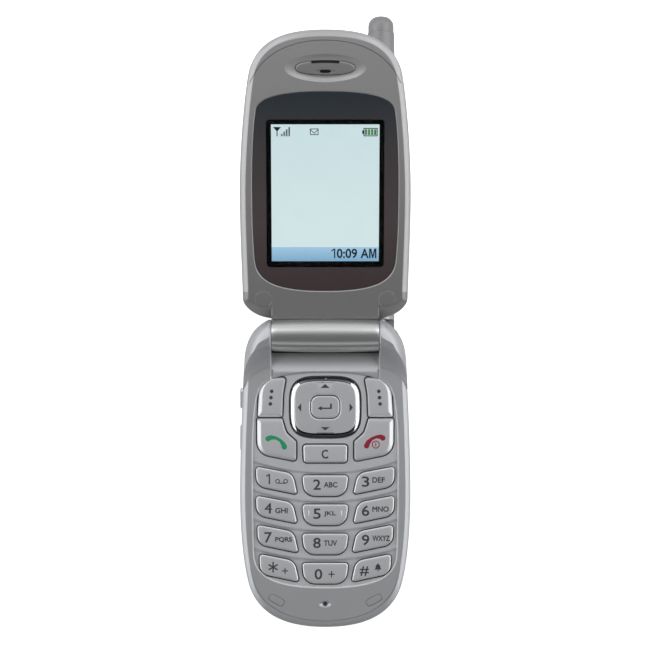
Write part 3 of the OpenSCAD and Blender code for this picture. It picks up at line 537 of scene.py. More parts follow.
class Paint(Enum):
    """Every finish on the phone."""

    BASE_SILVER = Finish("base_silver", (0.50, 0.51, 0.53), 0.55, 0.42, flake=0.10)
    # Painted light: a lighter copy of the base silver, making up for the shade that the keys cast on the
    # panel.
    PANEL_SILVER = Finish("panel_silver", (0.648, 0.661, 0.689), 0.5, 0.42, flake=0.10)
    BRIGHT_SILVER = Finish("bright_spray", (0.801, 0.801, 0.814), 0.75, 0.34, flake=0.12)
    # Partly the cover's own brighter paint at the lid's top, partly a painted highlight on the lid's outer
    # chamfer and the lens seat's edge.
    EDGE_SILVER_AND_HIGHLIGHT = Finish("edge_spray_and_highlight", (0.46, 0.46, 0.47), 0.5, 0.40, flake=0.10)
    BARREL_SILVER = Finish("barrel_silver", (0.64, 0.65, 0.65), 0.8, 0.29, flake=0.02, bump=0.0)
    BEZEL_GREY = Finish("bezel_spray", (0.316, 0.312, 0.316), 0.5, 0.42, flake=0.10)
    # Painted highlight: a bright paint for the recess edge's bevel and the side keys, standing in for the
    # light they catch.
    LIP = Finish("bright_lip", (0.85, 0.85, 0.85), 0.6, 0.35, flake=0.03, bump=0.0)
    REAR_GREY = Finish("rear_grey", (0.46, 0.47, 0.48), 0.6, 0.40, flake=0.10)
    KEY_SILVER = Finish("key_spray", (0.697, 0.710, 0.735), 0.5, 0.36, flake=0.08)
    NAV_SILVER = Finish("pad_spray", (0.670, 0.682, 0.707), 0.5, 0.34, flake=0.06)
    CHROME = Finish("chrome_rim", (0.86, 0.86, 0.87), 1.0, 0.13, flake=0.01, bump=0.0)
    CHROME_SHADE = Finish("chrome_shade", (0.11, 0.11, 0.115), 1.0, 0.16, flake=0.01, bump=0.0)
    BLACK = Finish("moulded_black", (0.018, 0.018, 0.02), 0.0, 0.5, bump=0.1)
    # Painted shadow: near black for walls, gaps and slots that lie in shade.
    GAP = Finish("gap_shadow", (0.02, 0.02, 0.022), 0.0, 0.7)
    RUBBER = Finish("bumper_rubber", (0.294, 0.298, 0.302), 0.0, 0.55, bump=0.12)
    FRAME_BLACK = Finish("display_frame", (0.003, 0.004, 0.004), 0.0, 0.3, coat=1.0, coat_roughness=0.03)
    SCREEN_INK = Finish("screen_ink", (0.01, 0.02, 0.03), 0.0, 0.4, flake=0.0, bump=0)
    SCREEN_GREY = Finish("screen_grey", (0.20, 0.22, 0.23), 0.0, 0.4, flake=0.0, bump=0)
    SCREEN_GREEN = Finish("screen_green", (0.10, 0.42, 0.12), 0.0, 0.4, flake=0.0, bump=0)
    INK = Finish("key_ink", (0.042, 0.045, 0.052), 0.0, 0.5, flake=0.0, bump=0)
    GREEN_INK = Finish("call_green", (0.01, 0.28, 0.12), 0.0, 0.45, flake=0.0, bump=0)
    RED_INK = Finish("end_red", (0.27, 0.012, 0.03), 0.0, 0.45, flake=0.0, bump=0)
    ANTENNA_GREY = Finish("antenna_grey", (0.275, 0.275, 0.283), 0.25, 0.42, flake=0.06)
    STEEL = Finish("turned_steel", (0.55, 0.55, 0.57), 1.0, 0.28, flake=0.03)
    GOLD = Finish("gold_contact", (0.80, 0.58, 0.22), 1.0, 0.25, flake=0.02)
    BOARD = Finish("solder_green", (0.03, 0.16, 0.07), 0.0, 0.45, coat=0.4)
    FILM = Finish("dome_film", (0.70, 0.70, 0.64), 0.0, 0.35)
    SILICONE = Finish("clear_silicone", (0.72, 0.73, 0.75), 0.0, 0.5)
    FLEX = Finish("flex_film", (0.55, 0.28, 0.06), 0.1, 0.35)
    TUNGSTEN = Finish("sintered_weight", (0.25, 0.24, 0.23), 0.9, 0.5, bump=0.2)
    OUTER_LENS = Finish("cover_glass", (0.012, 0.014, 0.018), 0.0, 0.12, coat=1.0, coat_roughness=0.02,
                        bump=0)


def dress(obj: bpy.types.Object, *paints: Paint | bpy.types.Material) -> bpy.types.Object:
    """Gives an object its finishes, one for each material slot."""
    obj.data.materials.clear()
    for paint in paints:
        obj.data.materials.append(paint.value.material() if isinstance(paint, Paint) else paint)
    return obj


def coat(obj: bpy.types.Object, angle: float, *paints: Paint | bpy.types.Material) -> bpy.types.Object:
    """Shades an object smooth up to an angle and gives it its finishes."""
    smooth(obj, angle)
    return dress(obj, *paints)


def paint_gap_shadow(obj: bpy.types.Object, below: float) -> None:
    """Gives an object's upright walls below a height painted shadow, its second finish, as the shade of a
    narrow gap.
    """
    for face in obj.data.polygons:
        if abs(face.normal.z) < 0.3 and face.center.z < below * MM:
            face.material_index = 1


def seat(obj: bpy.types.Object, body: str, slot: str, *nodes: str) -> None:
    """Ties a finished piece to its body, and hides the CAD nodes it stands for."""
    if nodes:
        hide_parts(*nodes)
    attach(obj, body)
    log.info("%s rides on %s", obj.name, body)


def gradient_paint(name: str, stops: Sequence[tuple[float, Colour]], ends: tuple[Vector, Vector],
                   roughness: float, glow: float = 0.0, metallic: float = 0.0) -> bpy.types.Material:
    """A finish whose colour runs along a straight line: glowing, metallic, or glossy where both are 0.

    Args:
        name: the material's name.
        stops: places from 0 to 1 with their colours.
        ends: the first and last point of the line, in metres.
        roughness: of the surface.
        glow: how strongly it shines by itself.
        metallic: how much of it is metal flake.

    Returns:
        The material.
    """
    if name in bpy.data.materials:
        return bpy.data.materials[name]
    mat, s, shader = new_paint(name)
    place = s.add("ShaderNodeTexCoord")
    line = ends[1] - ends[0]
    offset = s.add("ShaderNodeVectorMath", operation="SUBTRACT")
    s.link(place.outputs["Object"], offset.inputs[0])
    offset.inputs[1].default_value = ends[0]
    along = s.add("ShaderNodeVectorMath", operation="DOT_PRODUCT")
    s.link(offset.outputs[0], along.inputs[0])
    along.inputs[1].default_value = line / line.length_squared
    ramp = s.add("ShaderNodeValToRGB")
    s.link(along.outputs["Value"], ramp.inputs["Fac"])
    points = ramp.color_ramp.elements
    while len(points) < len(stops):
        points.new(0.5)
    for point, (at, color) in zip(points, stops):
        point.position = at
        point.color = (*color, 1)
    flake, mottle, bump = (0.1, 0.03, 0.04) if metallic else (0.0, 0.0, 0.0)
    group = grained(s, Roughness=roughness, Flake=flake, Mottle=mottle, Bump=bump)
    s.link(ramp.outputs["Color"], group.inputs["Color"])
    s.link(group.outputs["Roughness"], shader.inputs["Roughness"])
    if metallic:
        s.link(group.outputs["Color"], shader.inputs["Base Color"])
        s.link(group.outputs["Normal"], shader.inputs["Normal"])
        shader.inputs["Metallic"].default_value = metallic
    elif glow:
        shader.inputs["Base Color"].default_value = (0.03, 0.03, 0.03, 1)
        s.link(group.outputs["Color"], shader.inputs["Emission Color"])
        shader.inputs["Emission Strength"].default_value = glow
    else:
        s.link(group.outputs["Color"], shader.inputs["Base Color"])
        shader.inputs["Coat Weight"].default_value = 1.0
        shader.inputs["Coat Roughness"].default_value = 0.04
    return mat


def clear_window(name: str) -> bpy.types.Material:
    """Clear moulded plastic over the display, with a faint smear in its polish."""
    mat, s, shader = new_paint(name)
    group = grained(s, Color=(0.96, 0.97, 0.98, 1), Roughness=0.03, Flake=0.0, Mottle=0.05, Bump=0.0)
    s.link(group.outputs["Color"], shader.inputs["Base Color"])
    s.link(group.outputs["Roughness"], shader.inputs["Roughness"])
    shader.inputs["Transmission Weight"].default_value = 1.0
    shader.inputs["IOR"].default_value = 1.2
    return mat


# ---------------------------------------------------------------- outlines of this phone

def base_outline() -> list[Point]:
    """Plan of the base, from the tip at -Y to the back edge behind the hinge."""
    half = (bezier((0, -79.1), (10.5, -79.1), (17.6, -76), (20.4, -68.6))
            + bezier((20.4, -68.6), (21.7, -64.9), (23.2, -56.1), (23.2, -42))
            + bezier((23.2, -42), (23.2, -30), (22.5, -15), (22.05, -6.6))
            + bezier((22.05, -6.6), (21.75, -1.8), (20.2, 1.9), (15.6, 4.3)) + [(15.6, 4.3)])
    return moved(mirrored(half), HINGE_Y)


def lid_outline() -> list[Point]:
    """Plan of the lid in x and u."""
    half = ([(14.6, 4.3)] + bezier((15.2, 4.3), (19.5, 5.0), (21.9, 7.4), (22.3, 9.9))
            + bezier((22.3, 9.9), (22.5, 18), (22.9, 28), (22.9, 37.4))
            + bezier((22.9, 37.4), (22.9, 52), (21.0, 68.6), (20.0, 72.0))
            + bezier((20.0, 72.0), (17.2, 80.2), (9.6, 82.1), (0, 82.1)) + [(0, 82.1)])
    return mirrored(half)


def recess_outline() -> list[Point]:
    """Plan of the keypad recess."""
    half = (bezier((0, 68.6), (13, 68.6), (19.4, 66), (19.68, 59.3))
            + bezier((19.68, 59.3), (19.9, 54), (20.05, 45), (20.05, 33.8))
            + bezier((20.05, 33.8), (20.05, 22), (19.3, 16), (17.8, 13.7))
            + bezier((17.8, 13.7), (15, 10.4), (8, 9.6), (0, 9.6)) + [(0, 9.6)])
    return moved([(x, -y) for x, y in mirrored(half)], HINGE_Y)


def lens_outline() -> list[Point]:
    """Plan of the display lens in x and u."""
    half = (bezier((0, 12.5), (12, 12.5), (18.2, 14.5), (18.9, 20.5))
            + bezier((18.9, 20.5), (19.2, 24), (19.5, 28), (19.5, 36))
            + bezier((19.5, 36), (19.6, 45), (19.3, 56), (18.3, 61.6))
            + bezier((18.3, 61.6), (17.2, 65.2), (9, 66.1), (0, 66.1)) + [(0, 66.1)])
    return mirrored(half)


def box(x0: float, x1: float, y0: float, y1: float) -> list[Point]:
    """Corners of a rectangle, anticlockwise."""
    return [(x0, y0), (x1, y0), (x1, y1), (x0, y1)]


def lid_line(u0: float, u1: float, w: float = 0.0) -> tuple[Vector, Vector]:
    """The ends of a line along the middle of the lid, in metres in the frame's axes."""
    return to_row((0, u0, w), Place.LID), to_row((0, u1, w), Place.LID)


def plug_bore() -> Solid:
    """The headset plug's hole in the base's side."""
    return Solid.spun([(2.1, 10), (2.1, 24)], "x", (0, -18, 7.5), 48)


# ---------------------------------------------------------------- repeated details

def bead_tree() -> bpy.types.NodeTree:
    """A Geometry Nodes tree that sets equal rods in a straight row.

    Returns:
        The tree, with the inputs Count, Radius, Length, Start, End, Turn and Finish.
    """
    name = "row_of_rods"
    if name in bpy.data.node_groups:
        return bpy.data.node_groups[name]
    tree = bpy.data.node_groups.new(name, "GeometryNodeTree")
    face = tree.interface
    face.new_socket(name="Geometry", in_out="INPUT", socket_type="NodeSocketGeometry")
    for label, kind in (("Count", "Int"), ("Radius", "Float"), ("Length", "Float"), ("Start", "Vector"),
                        ("End", "Vector"), ("Turn", "Vector"), ("Finish", "Material")):
        face.new_socket(name=label, in_out="INPUT", socket_type="NodeSocket" + kind)
    face.new_socket(name="Geometry", in_out="OUTPUT", socket_type="NodeSocketGeometry")
    s = Sockets(tree)
    inside, outside = s.add("NodeGroupInput"), s.add("NodeGroupOutput")
    line = s.add("GeometryNodeMeshLine", mode="END_POINTS")
    s.link(inside.outputs["Count"], line.inputs["Count"])
    s.link(inside.outputs["Start"], line.inputs["Start Location"])
    s.link(inside.outputs["End"], line.inputs["Offset"])
    rod = s.add("GeometryNodeMeshCylinder")
    rod.inputs["Vertices"].default_value = 24
    s.link(inside.outputs["Radius"], rod.inputs["Radius"])
    s.link(inside.outputs["Length"], rod.inputs["Depth"])
    place = s.add("GeometryNodeInstanceOnPoints")
    s.link(line.outputs["Mesh"], place.inputs["Points"])
    s.link(rod.outputs["Mesh"], place.inputs["Instance"])
    turn = s.add("FunctionNodeEulerToRotation")
    s.link(inside.outputs["Turn"], turn.inputs[0])
    s.link(turn.outputs[0], place.inputs["Rotation"])
    real = s.add("GeometryNodeRealizeInstances")
    s.link(place.outputs["Instances"], real.inputs["Geometry"])
    finish = s.add("GeometryNodeSetMaterial")
    s.link(real.outputs["Geometry"], finish.inputs["Geometry"])
    s.link(inside.outputs["Finish"], finish.inputs["Material"])
    s.link(finish.outputs["Geometry"], outside.inputs["Geometry"])
    return tree


def rod_row(name: str, count: int, radius: float, length: float, start: Vector, end: Vector,
            turn: Vector, paint: Paint) -> bpy.types.Object:
    """A row of equal rods as one plain mesh.

    Args:
        name: of the new piece.
        count: how many rods.
        radius, length: of each rod, in millimetres.
        start, end: the middles of the first and last rod, in metres in the frame's axes.
        turn: how a rod that stands along Z is turned, in radians.
        paint: their finish.

    Returns:
        The piece.
    """
    tree = bead_tree()
    obj = add_object(name, bpy.data.meshes.new(name))
    mod = obj.modifiers.new("row", "NODES")
    mod.node_group = tree
    values = {"Count": count, "Radius": radius * MM, "Length": length * MM, "Start": tuple(start),
              "End": tuple(end), "Turn": tuple(turn), "Finish": paint.value.material()}
    for item in tree.interface.items_tree:
        if item.in_out == "INPUT" and item.name in values:
            mod[item.identifier] = values[item.name]
    settled(obj)
    return obj


# ---------------------------------------------------------------- printed marks

def thickened(mesh: bpy.types.Mesh, by: float) -> None:
    """Moves the rim of a flat mesh outwards, so that its strokes become bolder."""
    bm = bmesh.new()
    bm.from_mesh(mesh)
    bmesh.ops.remove_doubles(bm, verts=bm.verts, dist=1e-6)
    push: dict[bmesh.types.BMVert, list[Vector]] = {}
    for edge in bm.edges:
        if len(edge.link_faces) != 1:
            continue
        d = (edge.verts[1].co - edge.verts[0].co).normalized()
        n = Vector((d.y, -d.x, 0))
        if n.dot(edge.link_faces[0].calc_center_median() - edge.verts[0].co) > 0:
            n.negate()
        for v in edge.verts:
            push.setdefault(v, []).append(n)
    for v, normals in push.items():
        total = sum(normals, Vector())
        if total.length > 0.1:
            mean = total.normalized()
            v.co += mean * by / max(mean.dot(normals[0]), 0.6)
    bm.to_mesh(mesh)
    bm.free()


def lettering(text: str, width: float, height: float, heavy: float = 0.0) -> bpy.types.Mesh:
    """Flat letters as a mesh in the XY plane, middle at the origin.

    Args:
        text: what it says.
        width, height: of its box in millimetres; a width of 0 keeps the letters' own proportion.
        heavy: how far the rim of every stroke is moved outwards.

    Returns:
        The mesh, in millimetres.
    """
    curve = bpy.data.curves.new("letters", "FONT")
    curve.body = text
    curve.resolution_u = 3
    holder = add_object("letters", curve)
    graph = bpy.context.evaluated_depsgraph_get()
    mesh = bpy.data.meshes.new_from_object(holder.evaluated_get(graph), depsgraph=graph)
    bpy.data.objects.remove(holder, do_unlink=True)
    xs, ys = [v.co.x for v in mesh.vertices], [v.co.y for v in mesh.vertices]
    ky = (height - 2 * heavy) / (max(ys) - min(ys))
    kx = (width - 2 * heavy) / (max(xs) - min(xs)) if width else ky
    mid = Vector(((max(xs) + min(xs)) / 2, (max(ys) + min(ys)) / 2, 0))
    mesh.transform(Matrix.Diagonal((kx, ky, 1, 1)) @ Matrix.Translation(-mid))
    if heavy:
        thickened(mesh, heavy)
    return mesh


def figure_one(height: float) -> list[Point]:
    """Outline of the figure 1 with its flag, middle at the origin."""
    h, t = height / 2, height * 0.085
    return [(0.25 * h - t, -h), (0.25 * h + t * 0.6, -h), (0.25 * h + t * 0.6, h), (0.25 * h - t * 0.4, h),
            (-0.42 * h, 0.66 * h), (-0.34 * h, 0.42 * h), (0.25 * h - t, 0.66 * h)]


def flat_shape(points: Sequence[Point]) -> bpy.types.Mesh:
    """A flat filled outline as a mesh."""
    mesh = bpy.data.meshes.new("shape")
    ring = list(points) if signed_area(points) > 0 else list(reversed(points))
    mesh.from_pydata([(x, y, 0) for x, y in ring], [], [tuple(range(len(ring)))])
    return mesh


def flat_band(line: Sequence[Point], half: Sequence[float], round_ends: bool = True) -> list[Point]:
    """Outline of a stroke along a line, with its own half width at each point."""
    left, right = [], []
    for i, p in enumerate(line):
        a, b = line[max(i - 1, 0)], line[min(i + 1, len(line) - 1)]
        d = (Vector(b) - Vector(a)).normalized()
        n = Vector((-d.y, d.x)) * half[i]
        left.append((p[0] + n.x, p[1] + n.y))
        right.append((p[0] - n.x, p[1] - n.y))
    caps: list[list[Point]] = [[], []]
    if round_ends:
        for k, (end, before) in enumerate(((-1, -2), (0, 1))):
            d = (Vector(line[end]) - Vector(line[before])).normalized()
            t = math.degrees(math.atan2(d.y, d.x))
            caps[k] = arc(*line[end], half[end], t + 90, t - 90, 8)[1:-1]
    return left + caps[0] + list(reversed(right)) + caps[1]


def ring_shape(centre: Point, r: float, w: float, n: int = 32) -> bpy.types.Mesh:
    """A flat ring as a mesh."""
    mesh = bpy.data.meshes.new("ring")
    inner, outer = arc(*centre, r - w / 2, 0, 360, n)[:-1], arc(*centre, r + w / 2, 0, 360, n)[:-1]
    faces = [(i, n + i, n + (i + 1) % n, (i + 1) % n) for i in range(n)]
    mesh.from_pydata([(x, y, 0) for x, y in inner + outer], [], faces)
    return mesh


class Print:
    """Marks printed on one surface, gathered into one thin piece."""

    def __init__(self, name: str, place: Place, depth: float = 0.02, lift: float = 0.012) -> None:
        """Starts an empty sheet of marks."""
        self.name, self.place, self.depth, self.lift = name, place, depth, lift
        self.shapes: list[bpy.types.Mesh] = []

    def put(self, mesh: bpy.types.Mesh, at: Point = (0, 0), turn: float = 0.0) -> None:
        """Adds flat marks, moved and turned in the plane."""
        mesh.transform(Matrix.Translation((*at, 0)) @ Matrix.Rotation(math.radians(turn), 4, "Z"))
        self.shapes.append(mesh)

    def laid(self, height: Callable[[float, float], float]) -> bpy.types.Object:
        """Lays each mark level on a surface and gives it its thickness.

        Args:
            height: the surface's height over a point of the plane.

        Returns:
            The piece.
        """
        bm = bmesh.new()
        for shape in self.shapes:
            levels = [height(v.co.x, v.co.y) for v in shape.vertices]
            part = bmesh.new()
            part.from_mesh(shape)
            bmesh.ops.triangulate(part, faces=part.faces)
            for v in part.verts:
                v.co.z = max(levels) + self.lift
            made = bmesh.ops.extrude_face_region(part, geom=part.faces[:])
            for v in made["geom"]:
                if isinstance(v, bmesh.types.BMVert):
                    v.co.z = min(levels) - self.depth
            bmesh.ops.recalc_face_normals(part, faces=part.faces)
            part.to_mesh(shape)
            part.free()
            bm.from_mesh(shape)
            bpy.data.meshes.remove(shape)
        for v in bm.verts:
            v.co = to_row(v.co, self.place)
        mesh = bpy.data.meshes.new(self.name)
        bm.to_mesh(mesh)
        bm.free()
        return add_object(self.name, mesh)


def stamp(sheet: Print, height: Callable[[float, float], float], paint: Paint, body: str, slot: str) -> None:
    """Lays a sheet of marks on a surface, paints it and seats it on its body."""
    seat(dress(sheet.laid(height), paint), body, slot)


def surface_below(obj: bpy.types.Object, fallback: float) -> Callable[[float, float], float]:
    """A function that gives the height of a piece's top over a point, in millimetres."""
    graph = bpy.context.evaluated_depsgraph_get()
    tree = BVHTree.FromObject(obj, graph)

    def height(x: float, y: float) -> float:
        """Looks straight down on the piece."""
        hit = tree.ray_cast(Vector((x, y, 40.0)) * MM, Vector((0, 0, -1)))[0]
        return hit.z / MM if hit is not None else fallback
    return height


# ---------------------------------------------------------------- the base

@dataclass
class FrontShell:
    """Front housing of the base with its shoulders, the keypad panel and the bumper pads."""

    chamfer: float = 1.4
    wall: float = 1.3
    plate_z: float = 11.9
    panel_z: float = 12.9
    gap: float = 0.25
    row_start: float = 2.92
    row_pitch: float = 7.85
    row_drop: float = 0.42
    row_radius: float = 62.0
    shoulder_r: float = 4.5
    openings: list[list[Point]] = field(default_factory=list)

    def spread(self, x: float) -> float:
        """How far a shoulder's slope has moved towards the keypad at a distance x from the middle."""
        return 0.075 * max(abs(x) - 14.8, 0.0) ** 2

    def body(self) -> Solid:
        """The housing's outside under the rim."""
        levels = [(SEAM_Z, 0.0), (RIM_Z - 1.05, 0.0), (RIM_Z - 0.88, -0.08), (RIM_Z - 0.55, -0.45),
                  (RIM_Z - 0.26, -0.92), (RIM_Z - 0.06, -1.34), (RIM_Z, -self.chamfer - 0.12)]
        return Solid.stack(resampled(base_outline(), 300), levels)

    def dome(self) -> Solid:
        """The round-over of both shoulders, seen from the hinge's direction."""
        outline = resampled(base_outline(), 300)
        rings = []
        for i in range(15):
            t = i / 14
            drop = 6.2 * (1 - (1 - t ** 2.6) ** 0.6)
            z = RIM_Z - 0.2 + (HINGE_Z + self.shoulder_r + 0.01 - RIM_Z + 0.2) * t
            rings.append([(x * (1 - drop / BASE_HALF), y, z) for x, y in outline])
        rings.insert(0, [(x, y, SEAM_Z) for x, y in outline])
        return Solid.loft(rings)

    @staticmethod
    def sag(t: float) -> float:
        """How far a shoulder's slope hangs below a straight line, so that the closed lid clears it."""
        return 1.95 * t * (1 - t) ** 0.8

    def shoulder(self, side: int) -> Solid:
        """One shoulder's side profile, drawn out from the barrel's end to the edge."""
        rings = []
        for i in range(33):
            x = BARREL_HALF + (BASE_HALF + 0.3 - BARREL_HALF) * i / 32
            s = self.spread(x)
            r = self.shoulder_r
            crease = (-2.85 - 1.15 * s, 3.5 - 0.11 * s)
            low = (-9.2 - s, RIM_Z - HINGE_Z)
            ring = [(r, SEAM_Z - HINGE_Z)] + arc(0, 0, r, 0, 122, 24)
            ring += [(crease[0] + 0.5, crease[1] + 0.24), (crease[0] + 0.1, crease[1] + 0.03),
                     (crease[0] - 0.2, crease[1] - 0.2)]
            for t in (0.12, 0.25, 0.38, 0.5, 0.62, 0.73, 0.83, 0.92):
                ring.append((crease[0] + (low[0] - crease[0]) * t,
                             crease[1] + (low[1] - crease[1]) * t - self.sag(t)))
            ring += [low, (low[0] - 0.9, low[1] - 0.7), (low[0] - 0.9, SEAM_Z - HINGE_Z)]
            rings.append([(side * x, y, z) for y, z in ring])
        return Solid.loft(rings).on_hinge()

    def trough(self) -> list[Solid]:
        """Room for the barrel, and the hollow that leads down to the keypad."""
        half = BARREL_HALF
        flare = 0.3
        above = box(-half, half, HINGE_Y - BARREL_ROOM, HINGE_Y + 12)
        tools = [Solid.spun([(BARREL_ROOM, -half), (BARREL_ROOM, half)], "x", HINGE_MID, 96),
                 Solid.slab(above, HINGE_Z, HINGE_Z + 9),
                 Solid.spun([(6.3, -half), (6.3, half)], "x", (0, HINGE_Y - 7.2, HINGE_Z + 4.4), 128)]
        for s in (-1, 1):
            rings = []
            for i in range(21):
                y = -12.0 + 17.5 * i / 20
                z = self.profile_height(y)
                rings.append([(s * (half - 0.5), y, z + 1), (s * (half - 0.5), y, z - flare),
                              (s * half, y, z - flare), (s * (half + flare), y, z),
                              (s * (half + flare), y, z + 1)])
            tools.append(Solid.loft(rings).on_hinge())
        return tools

    def profile_height(self, y: float) -> float:
        """Height of a shoulder's top above the hinge axis at its inner end."""
        if y > -2.4:
            return math.sqrt(max(self.shoulder_r ** 2 - y * y, 0.01))
        if y > -9.2:
            t = max(-y - 2.85, 0.0) / (9.2 - 2.85)
            return 3.5 - (3.5 + 1.35) * t - self.sag(t)
        return RIM_Z - HINGE_Z

    def cavity(self) -> Solid:
        """The hollow under the keypad."""
        inner = grown(resampled(base_outline(), 200), -self.wall)
        inner = [(x, min(y, HINGE_Y - 6.6)) for x, y in inner]
        return Solid.slab(inner, SEAM_Z - 1, self.plate_z)

    def groove(self) -> Solid:
        """The dark seam round the tip."""
        line = [p for p in resampled(base_outline(), 400) if p[1] < -24.5]
        line.sort(key=lambda p: math.atan2(p[1] + 10, p[0]))
        outer, inner = [], []
        for p in line:
            n = Vector((p[0] * 0.9, p[1] - 4)).normalized()
            k = 1.62 + 0.35 * min(1.0, abs(p[0]) / 15.0)
            outer.append((p[0] - n.x * k, p[1] - n.y * k))
            inner.append((p[0] - n.x * (k + 0.16), p[1] - n.y * (k + 0.16)))
        return Solid.slab(outer + list(reversed(inner)), RIM_Z - 0.3, RIM_Z + 1)

    def side_openings(self) -> list[Solid]:
        """Openings for the side keys, the headset plug and the bottom connector."""
        tools = [SideKeys.bar(span, [(-BASE_HALF - 1, self.gap), (-19, self.gap)]) for span in SideKeys.SPANS]
        return tools + [plug_bore(), Solid.slab(box(*CONNECTOR), 5.6, 8.8)]

    def housing(self) -> bpy.types.Object:
        """The front housing, without the keypad panel."""
        obj = piece_of("front_shell", self.body(), Place.BASE)
        shoulders = piece_of("shoulders", self.dome(), Place.BASE)
        both = piece_of("pair", self.shoulder(-1), Place.BASE)
        carve(both, [self.shoulder(1)], Place.BASE, "UNION")
        combine(shoulders, [both], "INTERSECT")
        combine(obj, [shoulders], "UNION")
        carve(obj, self.trough() + [self.cavity()], Place.BASE)
        edge = resampled(recess_outline(), 260)
        hole = Solid.stack(edge, [(self.plate_z - 1, -0.4), (RIM_Z - 0.5, -0.4), (RIM_Z - 0.12, -0.28),
                                  (RIM_Z, 0.06), (RIM_Z + 1, 1.6)])
        carve(obj, [hole, self.groove()] + self.side_openings(), Place.BASE)
        carve(obj, self.tip_details(), Place.BASE)
        bosses, pilots = ([Solid.spun([(r, z0), (r, z1)], "z", (x, y, 0), n) for x, y in FRONT_SCREWS]
                          for r, z0, z1, n in ((1.9, SEAM_Z, self.plate_z + 0.2, 32), (0.8, 5, 11.3, 24)))
        carve(obj, bosses, Place.BASE, "UNION")
        carve(obj, pilots, Place.BASE)
        antenna_mid = (ANTENNA_AXIS[0], HINGE_Y, ANTENNA_AXIS[1])
        bores = ((1.4, -19.5, 19.5, "x", HINGE_MID), (1.9, 0, 9, "y", antenna_mid),
                 (1.5, -8, 0.5, "y", antenna_mid))
        carve(obj, [Solid.spun([(r, a), (r, b)], axis, mid, 48) for r, a, b, axis, mid in bores], Place.BASE)
        # Painted shade: the hollow under the barrel darkens towards the barrel, where the barrel shades it.
        hollow = gradient_paint("hollow_painted_shade", (
            (0.0, (0.52, 0.53, 0.55)), (0.4, (0.53, 0.54, 0.555)), (0.72, (0.43, 0.435, 0.44)),
            (1.0, (0.14, 0.14, 0.14))), tuple(Vector((0, HINGE_Y + y, 0)) * MM for y in (-9.8, -4.6)),
            0.42, metallic=0.55)
        coat(obj, 28, Paint.BASE_SILVER, Paint.GAP, Paint.LIP, hollow)
        lip = grown(resampled(recess_outline(), 100), 0.3)
        for face in obj.data.polygons:
            x, y, z = face.center / MM
            reach = math.hypot(y - HINGE_Y, z - HINGE_Z)
            # Painted shadow in the narrow gap between the barrel and its trough.
            if abs(reach - BARREL_ROOM) < 0.06 and abs(x) < BARREL_HALF and z < HINGE_Z - 1:
                face.material_index = 1
            # The hollow's faces take this painted shade.
            elif (abs(x) < BARREL_HALF - 0.6 and -9.9 < y - HINGE_Y < -4.6 and z < RIM_Z
                  and face.normal.z > 0.3):
                face.material_index = 3
            # Painted highlight on the bevel of the recess edge.
            elif (0.15 < face.normal.z < 0.97 and z > RIM_Z - 0.45 and within((x, y), lip)
                  and (y < 27.0 or abs(face.normal.y) < 0.3)):
                face.material_index = 2
        return obj

    def tip_details(self) -> list[Solid]:
        """Microphone hole with its eye-shaped dimple, and the seats of the two pads."""
        eye = []
        for k, z in ((0.42, -0.5), (0.72, -0.24), (1.0, 0.0), (1.3, 0.25)):
            eye.append([(x, y - 32.8, RIM_Z + z) for x, y in oval(1.78 * k, 0.95 * k, 1.7, n=48)])
        tools = [Solid.loft(eye), Solid.spun([(0.62, 10.5), (0.62, 14.5)], "z", (0, -32.8, 0), 32)]
        tools += [self.pad(s, RIM_Z - 0.4, RIM_Z + 1, 0.1, 0.0) for s in (-1, 1)]
        return tools

    def pad(self, side: int, z0: float, z1: float, grow: float, edge: float) -> Solid:
        """A bumper pad or its seat: a slanted stadium between two heights."""
        shape = oval(2.15 + grow, 0.95 + grow, 4.2, n=64)
        t = math.radians(28 * side)
        turned = [(x * math.cos(t) - y * math.sin(t) + side * 13.2, x * math.sin(t) + y * math.cos(t) - 31.7)
                  for x, y in shape]
        return Solid.stack(turned, [(z0, 0.0), (z1 - edge, 0.0)]
                           + ([(z1 - edge * 0.3, -edge * 0.3), (z1, -edge)] if edge else [(z1, 0.0)]))

    def row_y(self, row: float, x: float) -> float:
        """Where the step above a key row lies at a distance x from the middle."""
        r = self.row_radius
        return self.row_start - row * self.row_pitch + r - math.sqrt(r * r - x * x)

    def panel(self) -> bpy.types.Object:
        """The keypad panel with its four smile-shaped steps and the key openings."""
        steps = [(0.0, 0.0), (0.12, 0.02), (0.28, 0.11), (0.46, 0.22), (0.66, 0.285), (0.95, 0.3)]
        rings = []
        for i in range(81):
            x = -20.6 + 41.2 * i / 80
            line = [(31.4, 0.0)]
            for row in range(4):
                line += [(self.row_y(row, x) - d, k / 0.3 * self.row_drop) for d, k in steps]
                line.append((self.row_y(row, x) - self.row_pitch + 0.35, 0.03))
            line += [(-29.6, 0.0)]
            line = [(y, self.panel_z - k) for y, k in line] + [(-29.6, self.plate_z), (31.4, self.plate_z)]
            rings.append([(x, y, z) for y, z in line])
        obj = piece_of("keypad_panel", Solid.loft(rings), Place.BASE)
        edge = resampled(recess_outline(), 260)
        carve(obj, [Solid.stack(edge, [(self.plate_z - 1, -0.4), (RIM_Z, -0.4)])], Place.BASE, "INTERSECT")
        carve(obj, [Solid.stack(k, [(self.plate_z - 1, self.gap), (12.5, self.gap), (12.72, self.gap + 0.05),
                                    (12.95, self.gap + 0.17), (13.4, self.gap + 0.5)]) for k in self.openings],
              Place.BASE)
        # The panel's lighter silver is painted light against the keys' shade; the walls of the key openings
        # get painted shadow.
        coat(obj, 32, Paint.PANEL_SILVER, Paint.GAP)
        paint_gap_shadow(obj, 12.75)
        return obj

